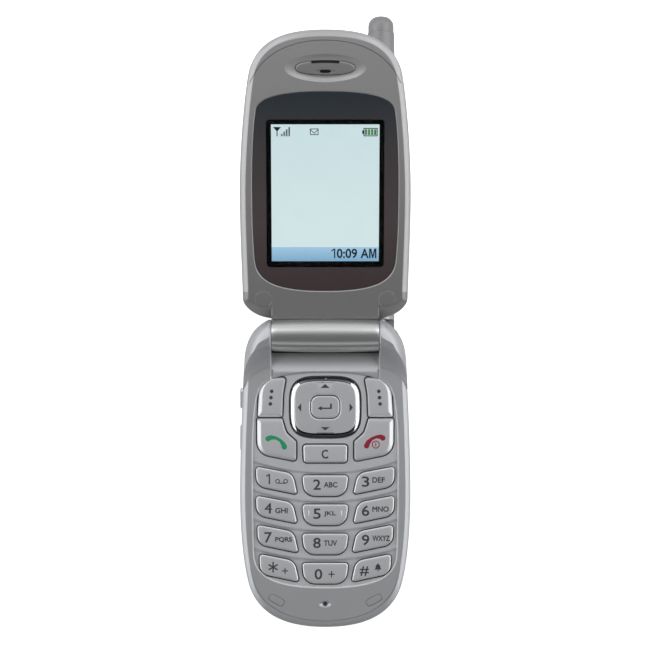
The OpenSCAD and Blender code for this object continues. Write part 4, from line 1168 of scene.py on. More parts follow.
    def pads(self) -> bpy.types.Object:
        """The two pads that the closed lid rests on."""
        left, right = (self.pad(s, RIM_Z - 0.38, RIM_Z + 0.14, 0, 0.18) for s in (-1, 1))
        obj = piece_of("bumper_pads", left, Place.BASE)
        carve(obj, [right], Place.BASE, "UNION")
        return coat(obj, 40, Paint.RUBBER)

    def build(self) -> None:
        """Makes and seats all of it."""
        seat(self.housing(), "base", "body_silver", "front_housing")
        seat(self.panel(), "base", "body_silver")
        seat(self.pads(), "base", "rubber_grey", "lid_bumpers")


@dataclass
class SideKeys:
    """The two volume keys on the left."""

    SPANS = ((20.2, 25.8), (8.8, 15.7))
    face: float = -BASE_HALF - 0.25
    inner: float = -21.0

    @staticmethod
    def bar(span: Point, levels: Sequence[tuple[float, float]]) -> Solid:
        """A rounded bar along X; each level is (x, growth)."""
        half, mid = (span[1] - span[0]) / 2, (span[0] + span[1]) / 2
        outline = rounded(box(-half, half, -1.4, 1.4), [1.15] * 4, 8)
        return Solid.loft([[(x, mid + y, SIDE_KEY_Z + z) for y, z in grown(outline, g)] for x, g in levels])

    def key(self, span: Point) -> Solid:
        """One key with its rounded face and the flange inside."""
        face, inner = self.face, self.inner
        return self.bar(span, [(face, -0.75), (face + 0.03, -0.45), (face + 0.12, -0.18), (face + 0.32, -0.02),
                               (inner, 0.0), (inner + 0.01, 0.5), (inner + 0.5, 0.5)])

    def build(self) -> None:
        """Makes both keys."""
        for name, span in zip(("volume_up_key", "volume_down_key"), self.SPANS):
            obj = piece_of(name + "_cap", self.key(span), Place.BASE)
            # Painted highlight: the keys take the lip's bright paint so that they look lit.
            seat(coat(obj, 35, Paint.LIP), name, "key_silver", name)


@dataclass
class RearShell:
    """Rear housing, battery pack and its latch."""

    battery_lo: float = -33.0
    battery_hi: float = 21.0
    battery_t: float = 5.0
    floor_z: float = 5.2
    floor_top: float = 6.2

    def back_levels(self) -> list[tuple[float, float]]:
        """Levels of the rounded back from the ground to the seam."""
        knots = [(0.0, -4.0), (0.5, -2.5), (1.4, -1.3), (2.8, -0.5), (4.6, -0.05), (6.6, 0.0)]
        out = []
        for i in range(len(knots) - 1):
            p0, p1 = knots[max(i - 1, 0)], knots[i]
            p2, p3 = knots[i + 1], knots[min(i + 2, len(knots) - 1)]
            for j in range(4):
                t = j / 4
                out.append(tuple(0.5 * (2 * p1[k] + (p2[k] - p0[k]) * t
                                        + (2 * p0[k] - 5 * p1[k] + 4 * p2[k] - p3[k]) * t * t
                                        + (3 * p1[k] - p0[k] - 3 * p2[k] + p3[k]) * t ** 3) for k in (0, 1)))
        return out + [knots[-1]]

    def back(self) -> Solid:
        """The whole back as one closed shape."""
        return Solid.stack(resampled(base_outline(), 240), self.back_levels())

    def block(self, x0: float, x1: float, y0: float, y1: float, z0: float, z1: float) -> Solid:
        """A plain cutter between six planes."""
        return Solid.slab(box(x0, x1, y0, y1), z0, z1)

    def housing(self) -> bpy.types.Object:
        """The rear housing with the battery bay and the antenna's boss."""
        obj = piece_of("rear_shell", self.back(), Place.BASE)
        axis = (ANTENNA_AXIS[0], 0, ANTENNA_AXIS[1])
        boss_r, boss_back = 3.6, HINGE_Y + 4.7
        boss = Solid.spun([(boss_r, boss_back), (boss_r, 52.6), (3.45, 52.9), (3.2, 53.0)], "y", axis, 96)
        lower = Solid.spun([(boss_r, HINGE_Y - 4), (boss_r, boss_back + 0.5)], "y", axis, 96)
        carve(obj, [boss.bent(lambda p: (p[0], p[1], max(p[2], 0.0))),
                    lower.bent(lambda p: (p[0], p[1], min(p[2], SEAM_Z)))], Place.BASE, "UNION")
        inner = grown(resampled(base_outline(), 200), -1.3)
        tray = Solid.slab([(x, min(y, HINGE_Y + 2.6)) for x, y in inner], self.floor_top, SEAM_Z + 1)
        carve(obj, [self.block(-30, 30, self.battery_lo - 0.2, self.battery_hi + 0.2, -1, self.floor_z), tray],
              Place.BASE)
        carve(obj, [self.block(-6.2, 6.2, 23.5, 30.3, -1, 2.6), self.block(*CONNECTOR, self.floor_top, 9)],
              Place.BASE)
        holes = [Solid.spun([(1.9, -1), (1.9, 2.2), (1.0, 2.2), (1.0, 20)], "z", (x, y, 0), 40)
                 for x, y in FRONT_SCREWS + REAR_SCREWS]
        carve(obj, holes + [Solid.spun([(2.3, HINGE_Y + 4.5), (2.3, 54)], "y", axis, 64),
                            Solid.spun([(1.3, -15), (1.3, HINGE_Y + 4.9)], "y", axis, 48), plug_bore()],
              Place.BASE)
        return coat(obj, 30, Paint.REAR_GREY)

    def battery(self) -> bpy.types.Object:
        """The battery pack, which forms most of the back."""
        obj = piece_of("battery_shell", self.back(), Place.BASE)
        carve(obj, [self.block(-30, 30, self.battery_lo, self.battery_hi, -1, self.battery_t)], Place.BASE,
              "INTERSECT")
        hooks = [self.block(s * 7 - 2, s * 7 + 2, self.battery_lo - 1, self.battery_lo + 0.5, 2.4, 3.6)
                 for s in (-1, 1)]
        carve(obj, hooks, Place.BASE, "UNION")
        grip = [self.block(-9, 9, y - 0.25, y + 0.25, -0.3, 0.25) for y in (12.0, 13.4, 14.8, 16.2)]
        carve(obj, grip + [self.block(-3.4, 3.4, self.battery_hi - 1.1, self.battery_hi + 1, 1.2, 2.5)],
              Place.BASE)
        soften(obj, 0.18, 50)
        return coat(obj, 30, Paint.REAR_GREY)

    def latch(self) -> bpy.types.Object:
        """The latch, with its ribbed thumb piece."""
        obj = piece_of("latch_slider", self.block(-6, 6, 23.7, 28.7, 0.35, 1.5), Place.BASE)
        carve(obj, [self.block(-7.5, 7.5, 22.8, 30.2, 1.4, 2.3), self.block(-3, 3, 20.2, 23.8, 1.4, 2.3)],
              Place.BASE, "UNION")
        soften(obj, 0.15, 30)
        coat(obj, 40, Paint.BRIGHT_SILVER)
        ribs = rod_row("latch_ribs", 4, 0.25, 8.0, Vector((0, 24.7, 0.33)) * MM, Vector((0, 27.7, 0.33)) * MM,
                       Vector((0, math.pi / 2, 0)), Paint.BRIGHT_SILVER)
        smooth(ribs, 40, weigh=False)
        seat(ribs, "latch", "bright_silver")
        return obj

    def build(self) -> None:
        """Makes and seats the back."""
        seat(self.housing(), "base", "body_grey", "rear_housing")
        seat(self.battery(), "base", "battery_grey", "battery_pack")
        seat(self.latch(), "latch", "bright_silver", "battery_latch")


# ---------------------------------------------------------------- keys

@dataclass
class Key:
    """One key: its name, outline and the inset of its top face by direction."""

    name: str
    outline: list[Point]
    outer: float = 0.0
    bottom: float = 0.0
    side: int = 0
    top_z: float = 13.5

    def inset(self, n: Vector, depth: float) -> float:
        """How far the top face lies inside the outline where the edge faces n."""
        out = 0.30
        if self.side:
            out += (self.outer - 0.30) * max(0.0, n.x * self.side) ** 1.5
            out += (self.bottom - 0.30) * max(0.0, -n.y) ** 2 * (1.0 if n.x * self.side > -0.4 else 0.0)
        return out * depth

    def ring(self, depth: float) -> list[Point]:
        """The outline drawn in by a share of the top face's inset."""
        pts = self.points
        n = len(pts)
        turn = 1.0 if signed_area(pts) > 0 else -1.0
        out = []
        for i, p in enumerate(pts):
            a, b = pts[i - 2], pts[(i + 2) % n]
            d = Vector((b[0] - a[0], b[1] - a[1])).normalized()
            normal = Vector((d.y, -d.x)) * turn
            k = self.inset(normal, depth)
            out.append((p[0] - normal.x * k, p[1] - normal.y * k))
        return out

    @property
    def points(self) -> list[Point]:
        """The outline in even steps."""
        return resampled(self.outline, 160)

    def solid(self) -> Solid:
        """The key from its flange to its crown."""
        z = self.top_z
        d = 0.6 if self.side else 0.2
        levels = [(10.95, 0.0), (z - d - 0.12, 0.0), (z - d - 0.02, 0.04), (z - d + 0.03, 0.12),
                  (z - 0.05, 0.84), (z - 0.012, 0.96), (z, 1.1)]
        rings = [[(x, y, h) for x, y in self.ring(depth)] for h, depth in levels]
        middle = Vector((sum(p[0] for p in self.points), sum(p[1] for p in self.points))) / len(self.points)
        for k, up in ((0.8, 0.012), (0.55, 0.024), (0.25, 0.032)):
            rings.append([(middle.x + (x - middle.x) * k, middle.y + (y - middle.y) * k, z + up)
                          for x, y, _ in rings[len(levels) - 1]])
        return Solid.loft(rings)

    def build(self) -> bpy.types.Object:
        """Makes, dresses and seats the key."""
        obj = coat(piece_of(self.name + "_cap", self.solid(), Place.BASE), 30, Paint.KEY_SILVER, Paint.GAP)
        # Painted shadow on the key's skirt below its top.
        paint_gap_shadow(obj, 13.2)
        seat(obj, self.name, "key_silver", self.name)
        return obj


@dataclass
class Keypad:
    """All keys round the navigation pad, with their printed marks."""

    row_pitch: float = 7.9
    digit_h: float = 2.75
    letter_h: float = 1.5
    keys: dict[str, Key] = field(default_factory=dict)
    DIGITS = (("key_1", "1", ""), ("key_2", "2", "ABC"), ("key_3", "3", "DEF"), ("key_4", "4", "GHI"),
              ("key_5", "5", "JKL"), ("key_6", "6", "MNO"), ("key_7", "7", "PQRS"), ("key_8", "8", "TUV"),
              ("key_9", "9", "WXYZ"), ("key_star", "*", "+"), ("key_0", "0", "+"), ("key_hash", "#", ""))
    GROUP_WIDTHS = {"ABC": 3.7, "DEF": 3.4, "GHI": 3.4, "JKL": 3.3, "MNO": 4.45, "PQRS": 4.6, "TUV": 3.6,
                    "WXYZ": 4.7}
    NUDGE = ((0.25, -0.3), (0.3, -0.3), (0.65, 0.0), (1.25, 0.2))

    def __post_init__(self) -> None:
        """Works out every key's outline."""
        outer = [(-19.1, 4.4), (-18.9, -0.9), (-7.3, -3.15), (-8.6, 2.5)]
        middle = [(-6.25, 2.0), (-5.6, -3.6), (5.6, -3.6), (6.25, 2.0)]
        for i, (name, _, _) in enumerate(self.DIGITS):
            row, column = divmod(i, 3)
            far, near = self.NUDGE[row]
            if column == 1:
                shape = rounded(middle, [0.8, 3.2, 3.2, 0.8])
            else:
                moved_in = [(x + (far if x < -15 else near), y) for x, y in outer]
                shape = rounded(moved_in, [0.8, 3, 0.6, 3])
                if column == 2:
                    shape = flipped(shape)
            self.keys[name] = Key(name, moved(shape, -row * self.row_pitch))
        soft = rounded([(-18.4, 17.85), (-11.7, 17.85), (-11.5, 24), (-10.7, 28.7), (-18.0, 28.3)],
                       [0.5, 0.5, 6, 0.8, 4.8])
        call = rounded([(-18.6, 17.5), (-18.5, 7.9), (-7.9, 5.8), (-7.9, 11.2), (-10.6, 13.6), (-11.8, 17.5)],
                       [0.5, 4, 0.8, 0.8, 3, 0.5])
        for side, names in ((-1, ("soft_key_left", "send_key")), (1, ("soft_key_right", "end_key"))):
            for name, shape in zip(names, (soft, call)):
                self.keys[name] = Key(name, shape if side < 0 else flipped(shape), 1.15, 0.75, side)
        clear = rounded([(-6.0, 10.3), (-5.8, 5.5), (5.8, 5.5), (6.0, 10.3)], [0.8] * 4)
        self.keys["clear_key"] = Key("clear_key", clear)

    def mark(self, name: str, obj: bpy.types.Object, shapes: Iterable[tuple[bpy.types.Mesh, Point]],
             paint: Paint = Paint.INK) -> None:
        """Prints marks on a key.

        Args:
            name: the key.
            obj: its piece.
            shapes: flat meshes and their places.
            paint: the ink.
        """
        sheet = Print(f"{name}_{paint.name.lower()}", Place.BASE)
        for mesh, at in shapes:
            sheet.put(mesh, at)
        stamp(sheet, surface_below(obj, RIM_Z), paint, name, "black_plastic")

    def letters_of(self, index: int) -> list[tuple[bpy.types.Mesh, Point]]:
        """The digit and letters of a number key, at their places."""
        _, digit, group = self.DIGITS[index]
        row, column = divmod(index, 3)
        dy = -row * self.row_pitch
        centre = ((-15.5, 1.0), (-2.25, -0.5), (10.95, 0.3))[column]
        left = ((-13.6, 0.35), (-0.4, -0.55), (12.8, 0.75))[column]
        if row == 3:
            return self.last_row(column, dy)
        shape = (flat_shape(figure_one(self.digit_h)) if digit == "1"
                 else lettering(digit, 2.05, self.digit_h + 0.1, 0.06))
        out = [(shape, (centre[0], centre[1] + dy))]
        if group:
            w = self.GROUP_WIDTHS[group]
            out.append((lettering(group, w, self.letter_h, 0.055), (left[0] + w / 2, left[1] + dy)))
        else:
            out += [(ring_shape((0, 0), 0.5, 0.24), (x, 0.4 + dy)) for x in (-12.95, -10.75)]
            out.append((flat_shape(box(-1.1, 1.1, -0.12, 0.12)), (-11.85, -0.12 + dy)))
        return out

    def last_row(self, column: int, dy: float) -> list[tuple[bpy.types.Mesh, Point]]:
        """The marks of the star, zero and hash keys."""
        if column == 0:
            star = [(flat_shape(self.spoke(a, 1.42, 0.19)), (-14.15, 0.85 + dy)) for a in (90, 30, 150)]
            return star + [(flat_shape(self.spoke(a, 0.8, 0.15)), (-10.9, -0.15 + dy)) for a in (0, 90)]
        if column == 1:
            return [(lettering("0", 2.1, self.digit_h + 0.1, 0.06), (-1.85, -1.05 + dy))] + [
                (flat_shape(self.spoke(a, 0.85, 0.15)), (1.7, -1.05 + dy)) for a in (0, 90)]
        return [(lettering("#", 2.5, 2.6, 0.05), (10.6, -0.2 + dy))] + self.bell((14.3, 0.8 + dy))

    @staticmethod
    def spoke(angle: float, half: float, w: float) -> list[Point]:
        """A narrow bar through the origin."""
        t = math.radians(angle)
        d, n = Vector((math.cos(t), math.sin(t))) * half, Vector((-math.sin(t), math.cos(t))) * w
        return [tuple(-d - n), tuple(d - n), tuple(d + n), tuple(-d + n)]

    @staticmethod
    def bell(at: Point) -> list[tuple[bpy.types.Mesh, Point]]:
        """A plain bell for the silent mode."""
        dome = [(-0.95, -0.6), (-0.7, -0.25)] + arc(0, 0.25, 0.62, 180, 0, 10) + [(0.7, -0.25), (0.95, -0.6)]
        clapper, knob = arc(0, -0.8, 0.26, 180, 360, 8), arc(0, 0.95, 0.16, 0, 360, 10)[:-1]
        return [(flat_shape(shape), at) for shape in (dome, clapper, knob)]

    def handset(self, side: int) -> bpy.types.Mesh:
        """The call symbol: a curved handset."""
        if side < 0:
            line = [(-15.55, 11.95), (-14.7, 12.3), (-13.4, 12.15), (-12.2, 11.45), (-11.4, 10.5),
                    (-11.15, 9.75)]
        else:
            line = [(11.25, 10.0), (11.75, 11.05), (12.7, 11.95), (13.9, 12.45), (15.0, 12.5), (15.65, 12.15)]
        return flat_shape(flat_band(line, [0.72, 0.62, 0.42, 0.42, 0.62, 0.74]))

    def build(self) -> None:
        """Makes every key and prints its marks."""
        pieces = {name: key.build() for name, key in self.keys.items()}
        for i, (name, _, _) in enumerate(self.DIGITS):
            self.mark(name, pieces[name], self.letters_of(i))
        self.mark("clear_key", pieces["clear_key"], [(lettering("C", 1.8, 2.45, 0.07), (-0.1, 7.75))])
        self.mark("send_key", pieces["send_key"], [(self.handset(-1), (0, 0))], Paint.GREEN_INK)
        power = [(self.handset(1), (0, 0)), (ring_shape((13.75, 10.35), 0.95, 0.26), (0, 0)),
                 (flat_shape(box(13.62, 13.88, 9.85, 10.9)), (0, 0))]
        self.mark("end_key", pieces["end_key"], power, Paint.RED_INK)
        for side, name in ((-1, "soft_key_left"), (1, "soft_key_right")):
            height = surface_below(pieces[name], RIM_Z)
            ends = [(side * 14.59, 24.84), (side * 14.95, 21.41)]
            start, end = (Vector((x, y, height(x, y))) * MM for x, y in ends)
            dots = rod_row(f"{name}_dots", 3, 0.5, 0.03, start, end, Vector((0, 0, 0)), Paint.INK)
            seat(dots, name, "black_plastic")
        obj = piece_of("key_5_ridges", self.ridge(-4.45), Place.BASE)
        carve(obj, [self.ridge(4.45)], Place.BASE, "UNION")
        seat(coat(obj, 50, Paint.KEY_SILVER), "key_5", "key_silver")

    @staticmethod
    def ridge(x: float) -> Solid:
        """A feeling ridge at the side of the middle key."""
        ring = oval(0.2, 0.75, 3, (x, -8.25), 24)
        return Solid.stack(ring, [(13.4, 0.0), (13.58, 0.0), (13.66, -0.05), (13.69, -0.14)])


@dataclass
class NavigationPad:
    """The navigation ring with its chrome rim, and the OK key in its middle."""

    centre_y: float = 20.5
    half_w: float = 9.55
    half_h: float = 8.2
    power: float = 3.6
    rim: float = 1.12
    top_z: float = 13.5
    STEPS = 240

    def outline(self, grow: float = 0.0) -> list[Point]:
        """The ring's outline, grown by a distance."""
        return grown(oval(self.half_w, self.half_h, self.power, (0, self.centre_y), 400), grow)

    @staticmethod
    def ok_outline() -> list[Point]:
        """The OK key's outline."""
        return moved(rounded(box(-3.85, 3.85, -3.0, 3.0), [2.1] * 4, 14), 20.58)

    def ring(self) -> bpy.types.Object:
        """The ring, with the top face in silver and the rim in chrome; the rim's parts that face the hinge and
        the tip are painted dark, as a painted reflection of dark surroundings.
        """
        z, middle = self.top_z, (0, self.centre_y)
        outer = [(10.95, 0.34), (11.4, 0.34), (11.401, 0.0), (z - 0.95, 0.0), (z - 0.78, -0.04),
                 (z - 0.6, -0.14), (z - 0.42, -0.3), (z - 0.26, -0.52), (z - 0.14, -0.78),
                 (z - 0.06, -self.rim), (z - 0.1, -self.rim - 0.05), (z - 0.05, -self.rim - 0.12),
                 (z, -self.rim - 0.3)]
        inner = [(z, 0.75), (z, 0.5), (z - 0.06, 0.36), (z - 0.25, 0.26), (11.8, 0.24), (11.799, 1.1),
                 (10.95, 1.1)]
        rings = [[(x, y, h) for x, y in around(self.outline(g), middle, self.STEPS)] for h, g in outer]
        rings += [[(x, y, h) for x, y in around(grown(self.ok_outline(), g), middle, self.STEPS)]
                  for h, g in inner]
        obj = piece_of("nav_ring", Solid.collar(rings), Place.BASE)
        coat(obj, 40, Paint.NAV_SILVER, Paint.CHROME, Paint.CHROME_SHADE)
        # Painted reflection: rim faces that face the hinge or the tip get the dark chrome shade.
        for face in obj.data.polygons:
            x, y, _ = face.center / MM
            if 2 <= face.index // self.STEPS <= 8:
                face.material_index = 2 if abs(y - self.centre_y) > 0.5 * self.half_h + 0.32 * abs(x) else 1
        return obj

    def ok_key(self) -> bpy.types.Object:
        """The OK key."""
        z = self.top_z
        outline = resampled(self.ok_outline(), 120)
        levels = [(10.95, 0.8), (11.4, 0.8), (11.401, 0.0), (z - 0.3, 0.0), (z - 0.12, -0.05),
                  (z - 0.03, -0.18), (z, -0.4)]
        return coat(piece_of("ok_cap", Solid.stack(outline, levels), Place.BASE), 40, Paint.NAV_SILVER)

    def marks(self, ring: bpy.types.Object, ok: bpy.types.Object) -> None:
        """Prints the arrows, the thin lines and the enter sign."""
        sheet = Print("nav_marks", Place.BASE)
        for points in ([(-1.3, 25.75), (1.2, 25.75), (-0.05, 26.85)],
                       [(-1.25, 15.1), (1.2, 15.1), (-0.03, 14.2)],
                       [(-6.55, 21.6), (-7.5, 20.44), (-6.55, 19.25)],
                       [(6.6, 21.6), (7.55, 20.44), (6.6, 19.25)],
                       box(-2.3, 2.35, 27.14, 27.26), box(-2.3, 2.35, 13.5, 13.62)):
            sheet.put(flat_shape(points))
        stamp(sheet, surface_below(ring, RIM_Z), Paint.INK, "nav_key", "black_plastic")
        sheet = Print("ok_marks", Place.BASE)
        sheet.put(flat_shape([(-2.1, 20.22), (-0.95, 19.62), (-0.95, 20.03), (1.8, 20.03), (1.8, 21.5),
                              (1.32, 21.5), (1.32, 20.42), (-0.95, 20.42), (-0.95, 20.83)]))
        stamp(sheet, surface_below(ok, RIM_Z), Paint.INK, "ok_key", "black_plastic")

    def build(self) -> None:
        """Makes and seats the pad."""
        ring, ok = self.ring(), self.ok_key()
        self.marks(ring, ok)
        seat(ring, "nav_key", "nav_silver", "nav_key")
        seat(ok, "ok_key", "key_silver", "ok_key")


# ---------------------------------------------------------------- the lid

@dataclass
class Lid:
    """Display half: bezel, cover, hinge barrel, lens with the lit display, earpiece and screw caps."""

    seam: float = -3.2
    back: float = -7.8
    wall: float = 1.3
    ear_u: float = 72.3
    lens_top: float = FACE_W - 0.08
    lcd: tuple[float, float, float, float] = (-14.4, 14.4, 20.6, 57.4)
    frame_black: tuple[float, float, float, float] = (-15.75, 15.75, 19.0, 58.75)
    cap: Point = (16.7, 10.4)
    cap_r: float = 2.25
    outer_u: float = 48.0

    def trim_line(self) -> list[Point]:
        """The groove at the lid's top, from left to right, in x and u."""
        half = bezier((0, 79.55), (8.8, 79.55), (15.6, 76.4), (18.9, 70.3), 20) + bezier(
            (18.9, 70.3), (19.7, 68.9), (20.3, 67.4), (22.4, 65.2), 10) + [(22.4, 65.2)]
        return [(-x, u) for x, u in reversed(half[1:])] + half

    def front(self) -> Solid:
        """The bezel's outside."""
        bevel = ((1.15, 0.0), (0.97, -0.08), (0.6, -0.5), (0.28, -1.02), (0.06, -1.5), (0.0, -1.68))
        levels = [(self.seam, 0.0)] + [(FACE_W - d, g) for d, g in bevel]
        return Solid.stack(resampled(lid_outline(), 320), levels)

    def corner_cut(self) -> list[Solid]:
        """Room for the shoulders at both lower corners."""
        tools = []
        for s in (-1, 1):
            tools.append(Solid.spun([(BARREL_ROOM, s * 14.62), (BARREL_ROOM, s * 24)], "x", (0, 0, 0), 96))
            rings = []
            for i in range(25):
                x = 14.62 + 9.4 * i / 24
                start = 8.0 + 0.035 * (x - 14.6) ** 2 + 0.1 * (x - 14.6)
                slope = ((1.4, 0.6), (0.5, 0.02), (-0.15, -0.22), (-0.9, -0.75), (-2.0, -1.7), (-3.4, -3.1),
                         (-6.0, -5.6))
                ring = [(start + a, FACE_W + b) for a, b in slope]
                ring += [(-6, FACE_W - 9), (-6, 6), (start + 1.4, 6)]
                rings.append([(s * x, u, w) for u, w in ring])
            tools.append(Solid.loft(rings))
            lip = []
            for i in range(13):
                u = 3.4 + 4.9 * i / 12
                lip.append([(s * x, u, FACE_W + w) for x, w in ((14.3, 0), (14.65, -0.4), (14.8, 0.5),
                                                                (14.3, 0.5))])
            tools.append(Solid.loft(lip))
        return tools

    def barrel_radius(self, x: float) -> float:
        """The barrel is a little thicker in the middle."""
        return BARREL_R + 0.02 - 0.32 * (x / BARREL_HALF) ** 2

    def barrel_solid(self, grow: float = 0.0) -> Solid:
        """The barrel as a crowned rod with softened ends."""
        half = BARREL_HALF - 0.08 + (1.0 if grow else 0.0)
        places = [-half + 2 * half * i / 40 for i in range(41)]
        profile = [(self.barrel_radius(x) + grow, x) for x in places]
        if not grow:
            r = self.barrel_radius(half)
            start = [(3.2, -half), (r - 0.28, -half), (r - 0.08, -half + 0.08)]
            end = [(r - 0.08, half - 0.08), (r - 0.28, half), (3.2, half)]
            profile = start + [(r, x) for r, x in profile if abs(x) < half - 0.25] + end
        return Solid.spun(profile, "x", (0, 0, 0), 128)

    def dish(self) -> Solid:
        """The shallow oval dish of the earpiece."""
        steps = ((1.2, 0.5), (1.02, 0.04), (0.97, -0.06), (0.9, -0.26), (0.8, -0.52), (0.7, -0.68),
                 (0.62, -0.72))
        return Solid.loft([[(x, u, FACE_W + w) for x, u in oval(11.0 * k, 3.75 * k, 2.0, (0, self.ear_u), 128)]
                           for k, w in steps])

    def bezel(self) -> bpy.types.Object:
        """The bezel with the lens seat, the dish and the screw wells."""
        obj = piece_of("lid_bezel_shell", self.front(), Place.LID)
        inner = [(x, max(u, 13.5)) for x, u in grown(resampled(lid_outline(), 200), -self.wall)]
        carve(obj, [Solid.slab(shape, self.seam - 1, FACE_W - 1.2) for shape in (inner, box(-12, 12, 6, 14))],
              Place.LID)
        carve(obj, self.corner_cut() + [self.barrel_solid(0.05)], Place.LID)
        lens = resampled(lens_outline(), 240)
        seat_cut = Solid.stack(lens, [(FACE_W - 0.85, 0.0), (FACE_W - 0.26, 0.0), (FACE_W, 0.26),
                                      (FACE_W + 1, 1.26)])
        carve(obj, [seat_cut, Solid.slab(box(-15.7, 15.7, 19.2, 58.8), -2, 0.5), self.dish()], Place.LID)
        plate = oval(7.95, 1.98, 2.4, (0, self.ear_u), 96)
        well = [(self.cap_r + g, FACE_W + w) for g, w in ((0, -1.25), (0, -0.1), (0.14, 0.02), (0.6, 0.6))]
        carve(obj, [Solid.stack(plate, [(FACE_W - 1.08, 0.0), (FACE_W - 0.5, 0.0), (FACE_W + 0.2, 0.0)])]
              + self.pair(well), Place.LID)
        carve(obj, [self.groove(0.16, FACE_W - 0.5)], Place.LID)
        coat(obj, 28, self.bezel_grey_with_painted_shade(), Paint.EDGE_SILVER_AND_HIGHLIGHT, Paint.GAP)
        self.brighten_edge(obj)
        return obj

    def pair(self, profile: Sequence[Point]) -> list[Solid]:
        """A profile turned about the middle of each screw cap."""
        return [Solid.spun(profile, "z", (s * self.cap[0], self.cap[1], 0), 64) for s in (-1, 1)]

    @staticmethod
    def bezel_grey_with_painted_shade() -> bpy.types.Material:
        """The bezel's grey with painted shade: darker towards the hinge and lighter towards the lid's top,
        where more light falls.
        """
        return gradient_paint("bezel_painted_shade", (
            (0.0, (0.280, 0.277, 0.281)), (0.15, (0.305, 0.302, 0.306)), (0.45, (0.368, 0.364, 0.368)),
            (1.0, (0.430, 0.426, 0.430))), lid_line(8, 78, FACE_W), 0.42, metallic=0.5)

    def groove(self, width: float, low: float) -> Solid:
        """The dark seam at the lid's top."""
        line = self.trim_line()
        return Solid.slab(flat_band(line, [width / 2] * len(line), round_ends=False), low, FACE_W + 1)

    @staticmethod
    def past(line: Sequence[Point], p: Point) -> bool:
        """Whether a point of the bezel lies beyond the groove."""
        q = min(line, key=lambda k: (k[0] - p[0]) ** 2 + (k[1] - p[1]) ** 2)
        return p[1] > 65.0 and math.hypot(p[0], p[1] - 45) > math.hypot(q[0], q[1] - 45) - 0.03

    def brighten_edge(self, obj: bpy.types.Object) -> None:
        """Gives the crescent beyond the groove the cover's brighter paint, the outer chamfer and the lens
        seat's edge the same paint as a painted highlight, and the floor under the earpiece plate painted
        shadow.
        """
        line = self.trim_line()
        back = to_row((0, 0, 0), Place.LID)
        along = (to_row((0, 1, 0), Place.LID) - back).normalized()
        up = (to_row((0, 0, 1), Place.LID) - back).normalized()
        for face in obj.data.polygons:
            c = (face.center - back) / MM
            x, u, w = c.x, c.dot(along), c.dot(up)
            tilt = face.normal.dot(up)
            beyond = False
            if tilt > 0.1 and u > 60:
                corners = [(obj.data.vertices[i].co - back) / MM for i in face.vertices]
                beyond = all(self.past(line, (c.x, c.dot(along))) for c in corners)
            outer = abs(face.normal.x) > 0.25 and abs(x) > 18.5 and u > 12 and w > self.seam
            lens_edge = 0.3 < tilt < 0.9 and w > FACE_W - 0.3 and 11.5 < u < 67 and abs(x) < 20.2
            # The outer chamfer and the lens seat's edge are a painted highlight; the crescent beyond the
            # groove is the cover's own paint.
            if beyond or lens_edge or outer and tilt < 0.985 or tilt < 0.3 and u > 12.0 and abs(x) > 19:
                face.material_index = 1
            # Painted shadow on the bezel's floor under the earpiece plate.
            elif w < FACE_W - 0.8 and abs(x) < 7.9 and abs(u - self.ear_u) < 1.9:
                face.material_index = 2

    def cover_profile(self) -> list[Point]:
        """Side view of the cover in u and w."""
        return [(4.0, 3.0), *bezier((4.0, -4.4), (8, -5.6), (13, self.back), (20, self.back), 16),
                (20, self.back), (87, self.back), (87, 3.0)]

    def cover_levels(self, grow: float = 0.0) -> list[tuple[float, float]]:
        """Levels of the rounded cover from its back to the seam."""
        knots = ((self.back, -5.0), (-7.72, -4.1), (-7.5, -3.3), (-7.0, -2.3), (-6.3, -1.3), (-5.5, -0.62),
                 (-4.6, -0.2), (-3.8, -0.04), (self.seam, 0.0))
        return [(w + (0.9 * grow if w < -7 else 0), g - grow) for w, g in knots]

    def cover(self) -> bpy.types.Object:
        """The lid's outer cover."""
        outline = resampled(lid_outline(), 260)
        obj = piece_of("lid_cover_shell", Solid.stack(outline, self.cover_levels()), Place.LID)
        carve(obj, [Solid.across(self.cover_profile(), -26, 26)], Place.LID, "INTERSECT")
        levels = self.cover_levels(self.wall) + [(self.seam + 1, -self.wall)]
        hollow = piece_of("hollow", Solid.stack(outline, levels), Place.LID)
        inside = [(u + self.wall, w + (self.wall if w < 0 else 2)) for u, w in self.cover_profile()]
        carve(hollow, [Solid.across(inside, -26, 26)], Place.LID, "INTERSECT")
        combine(obj, [hollow], "DIFFERENCE")
        carve(obj, self.corner_cut() + [self.barrel_solid(0.05)], Place.LID)
        pane = moved(rounded(box(-10.05, 10.05, -7.55, 7.55), [2.0] * 4, 10), self.outer_u)
        carve(obj, [Solid.stack(pane, [(-8.8, 0.9), (self.back, 0.18), (self.back + 0.15, 0.0), (-7.05, 0.0)]),
                    Solid.slab(box(-8, 8, 42.5, 53.5), -8.8, -4.8)], Place.LID)
        return coat(obj, 28, Paint.BRIGHT_SILVER)

    def barrel(self) -> bpy.types.Object:
        """The hinge barrel with its tongue."""
        obj = piece_of("barrel_shell", self.barrel_solid(), Place.LID)
        carve(obj, [Solid.slab(box(-8.9, 8.9, 3, 7.4), -3, -0.8)], Place.LID, "UNION")
        carve(obj, [Solid.spun([(r, a), (r, b)], "x", (0, 0, 0), 64)
                    for r, a, b in ((2.92, -15, -0.8), (3.4, 0, 9), (1.45, 8, 15))], Place.LID)
        return coat(obj, 24, Paint.BARREL_SILVER)

